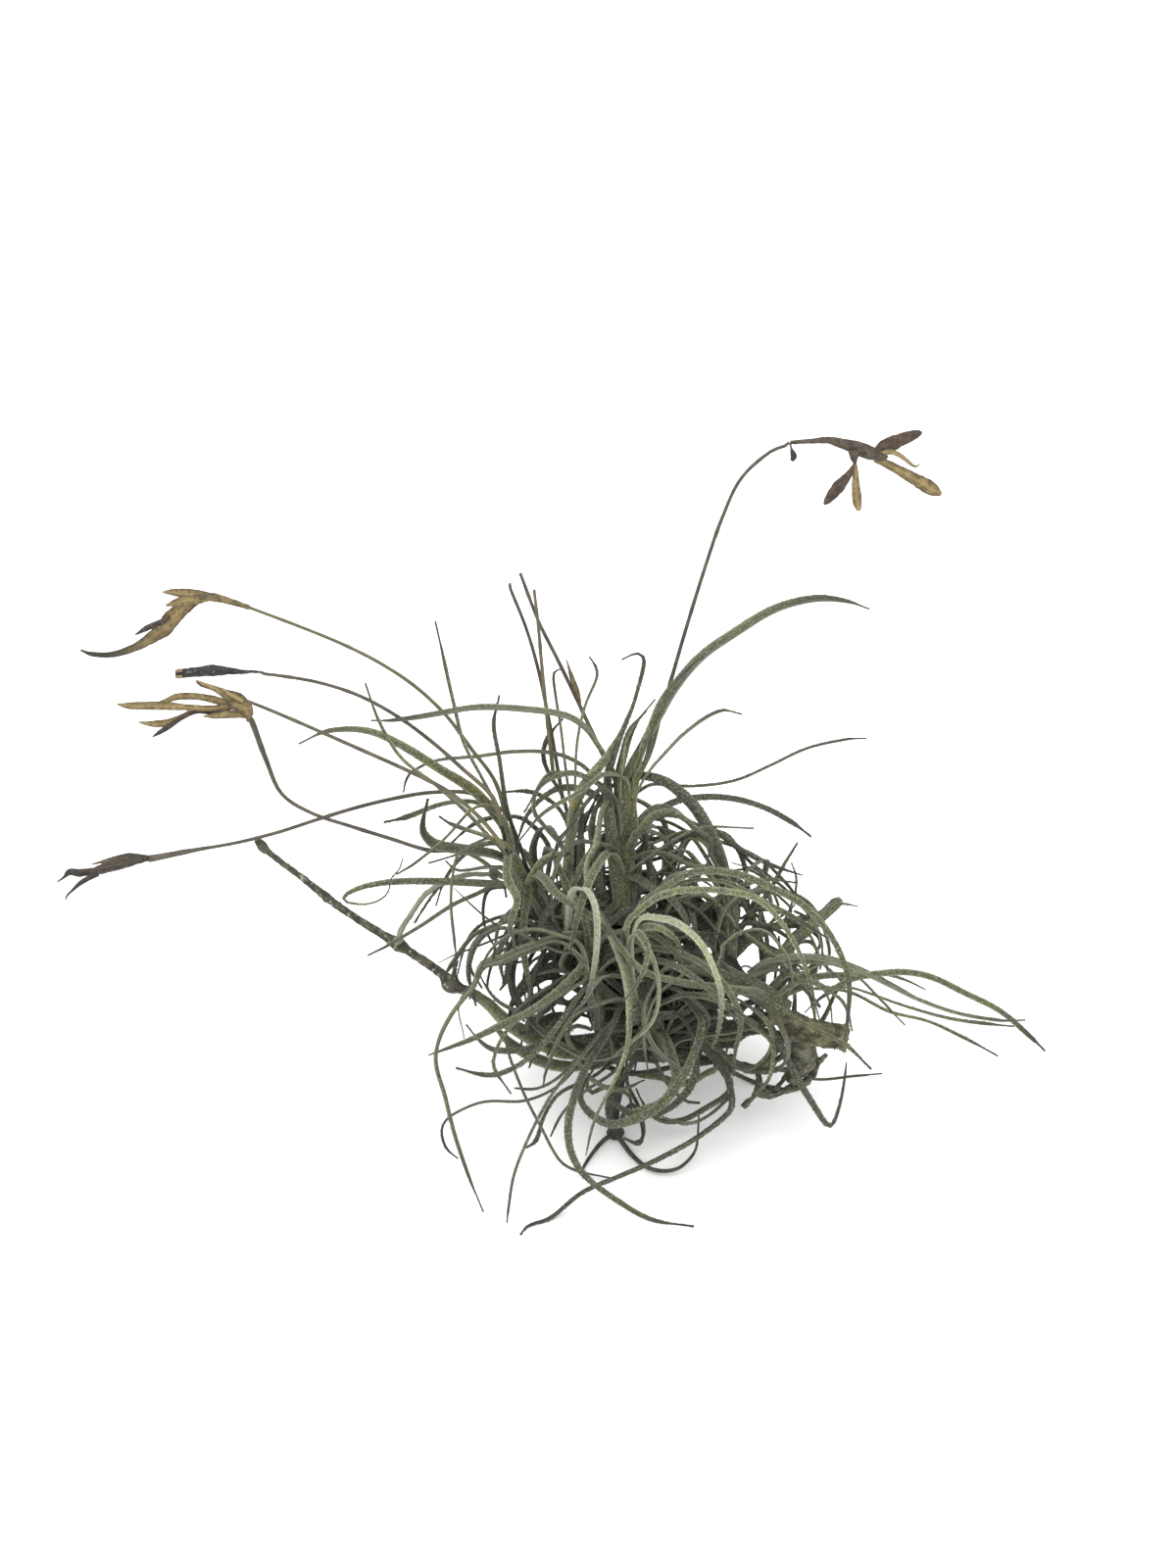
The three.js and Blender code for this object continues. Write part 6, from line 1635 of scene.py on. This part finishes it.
def stalk_finish():
    """Dark and streaked, golden at its foot and where its tone says so."""
    shade = colours()
    finish = Finish("stalk", roughness=0.55)
    streak = finish.patches(420, 4, 0.35, 0.7)
    golden = finish.mix(streak, shade.leaf, scaled(shade.straw, 0.8))
    finish.colour = finish.mix(streak, scaled(shade.stalk, 0.6), scaled(shade.stalk, 1.25))
    finish.lay(finish.fade(finish.attribute("tone"), 0, 1, 0.7), golden)
    finish.lay(finish.fade(finish.attribute("along"), 0.4, 0, 0.8), golden)
    finish.bump(finish.noise(1800), 0.3, 0.15)
    return finish.paint()


def straw_finish():
    """The inside of a valve: streaked straw, charred where its tone says so."""
    shade = colours()
    finish = Finish("straw", roughness=0.55, sheen=0.1)
    edge = finish.attribute("edge")
    fibre = finish.patches(900, 5, 0.36, 0.64)
    finish.colour = finish.mix(fibre, scaled(shade.straw, 0.5), scaled(shade.straw, 1.2))
    finish.lay(finish.patches(420, 3, 0.56, 0.7, 0.7), shade.capsule)
    # Painted highlight: each valve paler along its middle.
    finish.lay(finish.fade(edge, 0.4, 0, 0.5), scaled(shade.straw, 1.6))
    finish.lay(finish.fade(edge, 0.55, 1, 0.75), shade.capsule)
    finish.lay(finish.fade(finish.attribute("tone"), 0.3, 0.8, 0.9), shade.closed_capsule)
    finish.bump(fibre, 0.5, 0.25)
    return finish.paint()


def capsule_finish(name, dust=0.25):
    """Dry brown or slate skin with pale dust; a neck is golden where its tone says so."""
    shade = colours()
    dark = getattr(shade, name)
    finish = Finish(name, roughness=0.55)
    tone = finish.attribute("tone")
    fibre = finish.patches(620, 5, 0.36, 0.66)
    finish.colour = finish.mix(fibre, scaled(dark, 0.45), scaled(dark, 1.4))
    if name == "neck":
        golden = finish.mix(fibre, scaled(shade.straw, 0.3), shade.straw)
        finish.lay(finish.fade(tone, 0, 1), golden)
    else:
        finish.lay(finish.fade(tone, 0.5, 1, 0.7), scaled(shade.closed_capsule, 0.7))
    finish.lay(finish.patches(1900, 3, 0.56, 0.72, dust), scaled(shade.scurf, 0.8))
    finish.bump(fibre, 0.5, 0.3)
    return finish.paint()


def rough_finish(name, roughness, dark, light, patches, relief, specks=None, dust=1.0):
    """Dry skin in patches of two shades, with scurf specks and a relief."""
    shade = colours()
    finish = Finish(name, roughness)
    finish.colour = finish.mix(finish.patches(*patches), dark, light)
    if specks:
        finish.lay(finish.patches(*specks), scaled(shade.scurf, dust))
    if name == "twig":
        finish.lay(finish.fade(finish.attribute("tone"), 0.4, 1, 0.55), shade.scurf)
    scale, detail, strength, height = relief
    finish.bump(finish.noise(scale, detail), strength, height)
    return finish.paint()


def floor_finish():
    shade = colours().floor
    finish = Finish("pale_floor", roughness=0.9, specular=0.1)
    finish.colour = finish.mix(finish.patches(3, 2, 0.3, 0.7), scaled(shade, 0.985), shade)
    return finish.paint()


FINISHES = {}


def finishes():
    """The materials, made once."""
    if not FINISHES:
        shade = colours()
        FINISHES.update({
            "leaf": leaf_finish("leaf"),
            "pale_leaf": leaf_finish("pale_leaf"),
            "dark_leaf": leaf_finish("dark_leaf"),
            "scurf": scurf_finish(),
            "stalk": stalk_finish(),
            "straw": straw_finish(),
            "capsule": capsule_finish("capsule"),
            "neck": capsule_finish("neck"),
            "closed_capsule": capsule_finish("closed_capsule", 0.55),
            "twig": rough_finish(
                "twig", 0.9, scaled(shade.twig, 0.45), shade.twig, (420, 5, 0.42, 0.6),
                (900, 5, 0.8, 0.5), (1100, 3, 0.55, 0.7, 0.7), 1.1),
            "bark": rough_finish(
                "bark", 0.88, scaled(shade.bark, 0.32), scaled(shade.bark, 1.4),
                (300, 5, 0.38, 0.64), (800, 5, 0.8, 0.6), (1400, 3, 0.56, 0.72, 0.5)),
            "old_stem": rough_finish(
                "old_stem", 0.88, scaled(shade.dark_leaf, 0.6), shade.sheath,
                (380, 5, 0.36, 0.62), (900, 5, 0.8, 0.5), (1500, 3, 0.54, 0.7, 0.5)),
        })
        for name, brown in (("root", shade.root), ("old_root", shade.dark_leaf)):
            FINISHES[name] = rough_finish(
                name, 0.8, scaled(brown, 0.7), scaled(brown, 1.9), (500, 4, 0.36, 0.68),
                (1500, 3, 0.5, 0.2))
    return FINISHES


# ------------------------------------------------------------------ stage

FLOOR_SIZE = 6.0
SKY_STRENGTH = 1.22
LAMPS = (
    # name, across, up, towards, width, power
    ("key_light", -0.4, 1.2, 0.4, 1.8, 22.0),
    ("fill_light", 0.8, 0.5, 0.7, 0.9, 4.0),
)


def build_stage():
    bpy.ops.object.select_all(action="DESELECT")
    bpy.ops.mesh.primitive_plane_add(size=FLOOR_SIZE, location=(0, 0, 0))
    floor = bpy.context.active_object
    floor.name = "floor"
    floor.data.materials.append(floor_finish())
    aim = (view_point(*VIEW_CENTRE, 0) - ORIGIN) * MM
    for name, across, up, towards, width, power in LAMPS:
        where = aim + ACROSS * across + Vector((0, 0, up)) - Vector((0, towards, 0))
        bpy.ops.object.light_add(type="AREA", location=where)
        lamp = bpy.context.active_object
        lamp.name = name
        lamp.data.size = width
        lamp.data.energy = power
        lamp.rotation_euler = (aim - where).to_track_quat("-Z", "Y").to_euler()
    world = bpy.context.scene.world or bpy.data.worlds.new("studio")
    bpy.context.scene.world = world
    world.use_nodes = True
    background = world.node_tree.nodes["Background"]
    background.inputs["Color"].default_value = (1, 1, 1, 1)
    background.inputs["Strength"].default_value = SKY_STRENGTH
    bpy.context.scene.view_settings.view_transform = "Standard"
    eye = aim + TOWARDS * VIEW_DISTANCE * MM
    bpy.ops.object.camera_add(location=eye, rotation=(math.pi / 2 - VIEW_TILT, 0, 0))
    camera = bpy.context.active_object
    camera.name = "camera"
    camera.data.sensor_fit = "VERTICAL"
    camera.data.angle = 2 * math.atan(PICTURE_HEIGHT / 2 / VIEW_DISTANCE)
    camera.data.clip_start = 0.01
    bpy.context.scene.camera = camera


# ------------------------------------------------------------------ operators and panel

class AIRPLANT_OT_leafy_stems(bpy.types.Operator):
    """Make every leafy stem with its channelled, scurfy leaves"""
    bl_idname = "airplant.leafy_stems"
    bl_label = "Leafy stems"

    def execute(self, context):
        for node in SHOOTS:
            build_shoot(node, finishes())
        return {"FINISHED"}


class AIRPLANT_OT_stalks(bpy.types.Operator):
    """Make the wiry flower stalks"""
    bl_idname = "airplant.stalks"
    bl_label = "Flower stalks"

    def execute(self, context):
        for node in STALKS:
            build_stalk(node, finishes())
        return {"FINISHED"}


class AIRPLANT_OT_capsules(bpy.types.Operator):
    """Make the heads of split seed capsules"""
    bl_idname = "airplant.capsules"
    bl_label = "Capsule heads"

    def execute(self, context):
        for node in HEADS:
            build_head(node, finishes())
        return {"FINISHED"}


class AIRPLANT_OT_twig(bpy.types.Operator):
    """Make the knotted twig with its side shoot and spur"""
    bl_idname = "airplant.twig"
    bl_label = "Twig"

    def execute(self, context):
        build_twig(finishes())
        return {"FINISHED"}


class AIRPLANT_OT_bark(bpy.types.Operator):
    """Make the cut bark stub and the dry old stems"""
    bl_idname = "airplant.bark"
    bl_label = "Bark and old stems"

    def execute(self, context):
        build_bark(finishes())
        return {"FINISHED"}


class AIRPLANT_OT_roots(bpy.types.Operator):
    """Make the wiry roots and the foot"""
    bl_idname = "airplant.roots"
    bl_label = "Roots and foot"

    def execute(self, context):
        build_roots(finishes())
        build_foot(finishes())
        return {"FINISHED"}


class AIRPLANT_OT_stage(bpy.types.Operator):
    """Set up the pale floor, the soft lights and the camera"""
    bl_idname = "airplant.stage"
    bl_label = "Stage"

    def execute(self, context):
        build_stage()
        return {"FINISHED"}


OPERATORS = (
    AIRPLANT_OT_stage,
    AIRPLANT_OT_leafy_stems,
    AIRPLANT_OT_stalks,
    AIRPLANT_OT_capsules,
    AIRPLANT_OT_twig,
    AIRPLANT_OT_bark,
    AIRPLANT_OT_roots,
)


class AIRPLANT_PT_panel(bpy.types.Panel):
    """Lists the steps that make the plant"""
    bl_idname = "AIRPLANT_PT_panel"
    bl_label = "Air plant"
    bl_space_type = "VIEW_3D"
    bl_region_type = "UI"
    bl_category = "Air plant"

    def draw(self, context):
        for operator in OPERATORS:
            self.layout.operator(operator.bl_idname)
        for group in (sizes(), colours()):
            for name in group.bl_rna.properties.keys():
                if name not in ("rna_type", "name"):
                    self.layout.prop(group, name)


CLASSES = (AirPlantSizes, AirPlantColours, *OPERATORS, AIRPLANT_PT_panel)


def register():
    for each in CLASSES:
        bpy.utils.register_class(each)
    bpy.types.Scene.air_plant_sizes = PointerProperty(type=AirPlantSizes)
    bpy.types.Scene.air_plant_colours = PointerProperty(type=AirPlantColours)


def unregister():
    del bpy.types.Scene.air_plant_colours
    del bpy.types.Scene.air_plant_sizes
    for each in reversed(CLASSES):
        bpy.utils.unregister_class(each)


def main():
    register()
    for operator in OPERATORS:
        group, name = operator.bl_idname.split(".")
        getattr(getattr(bpy.ops, group), name)()


if __name__ == "__main__":
    main()
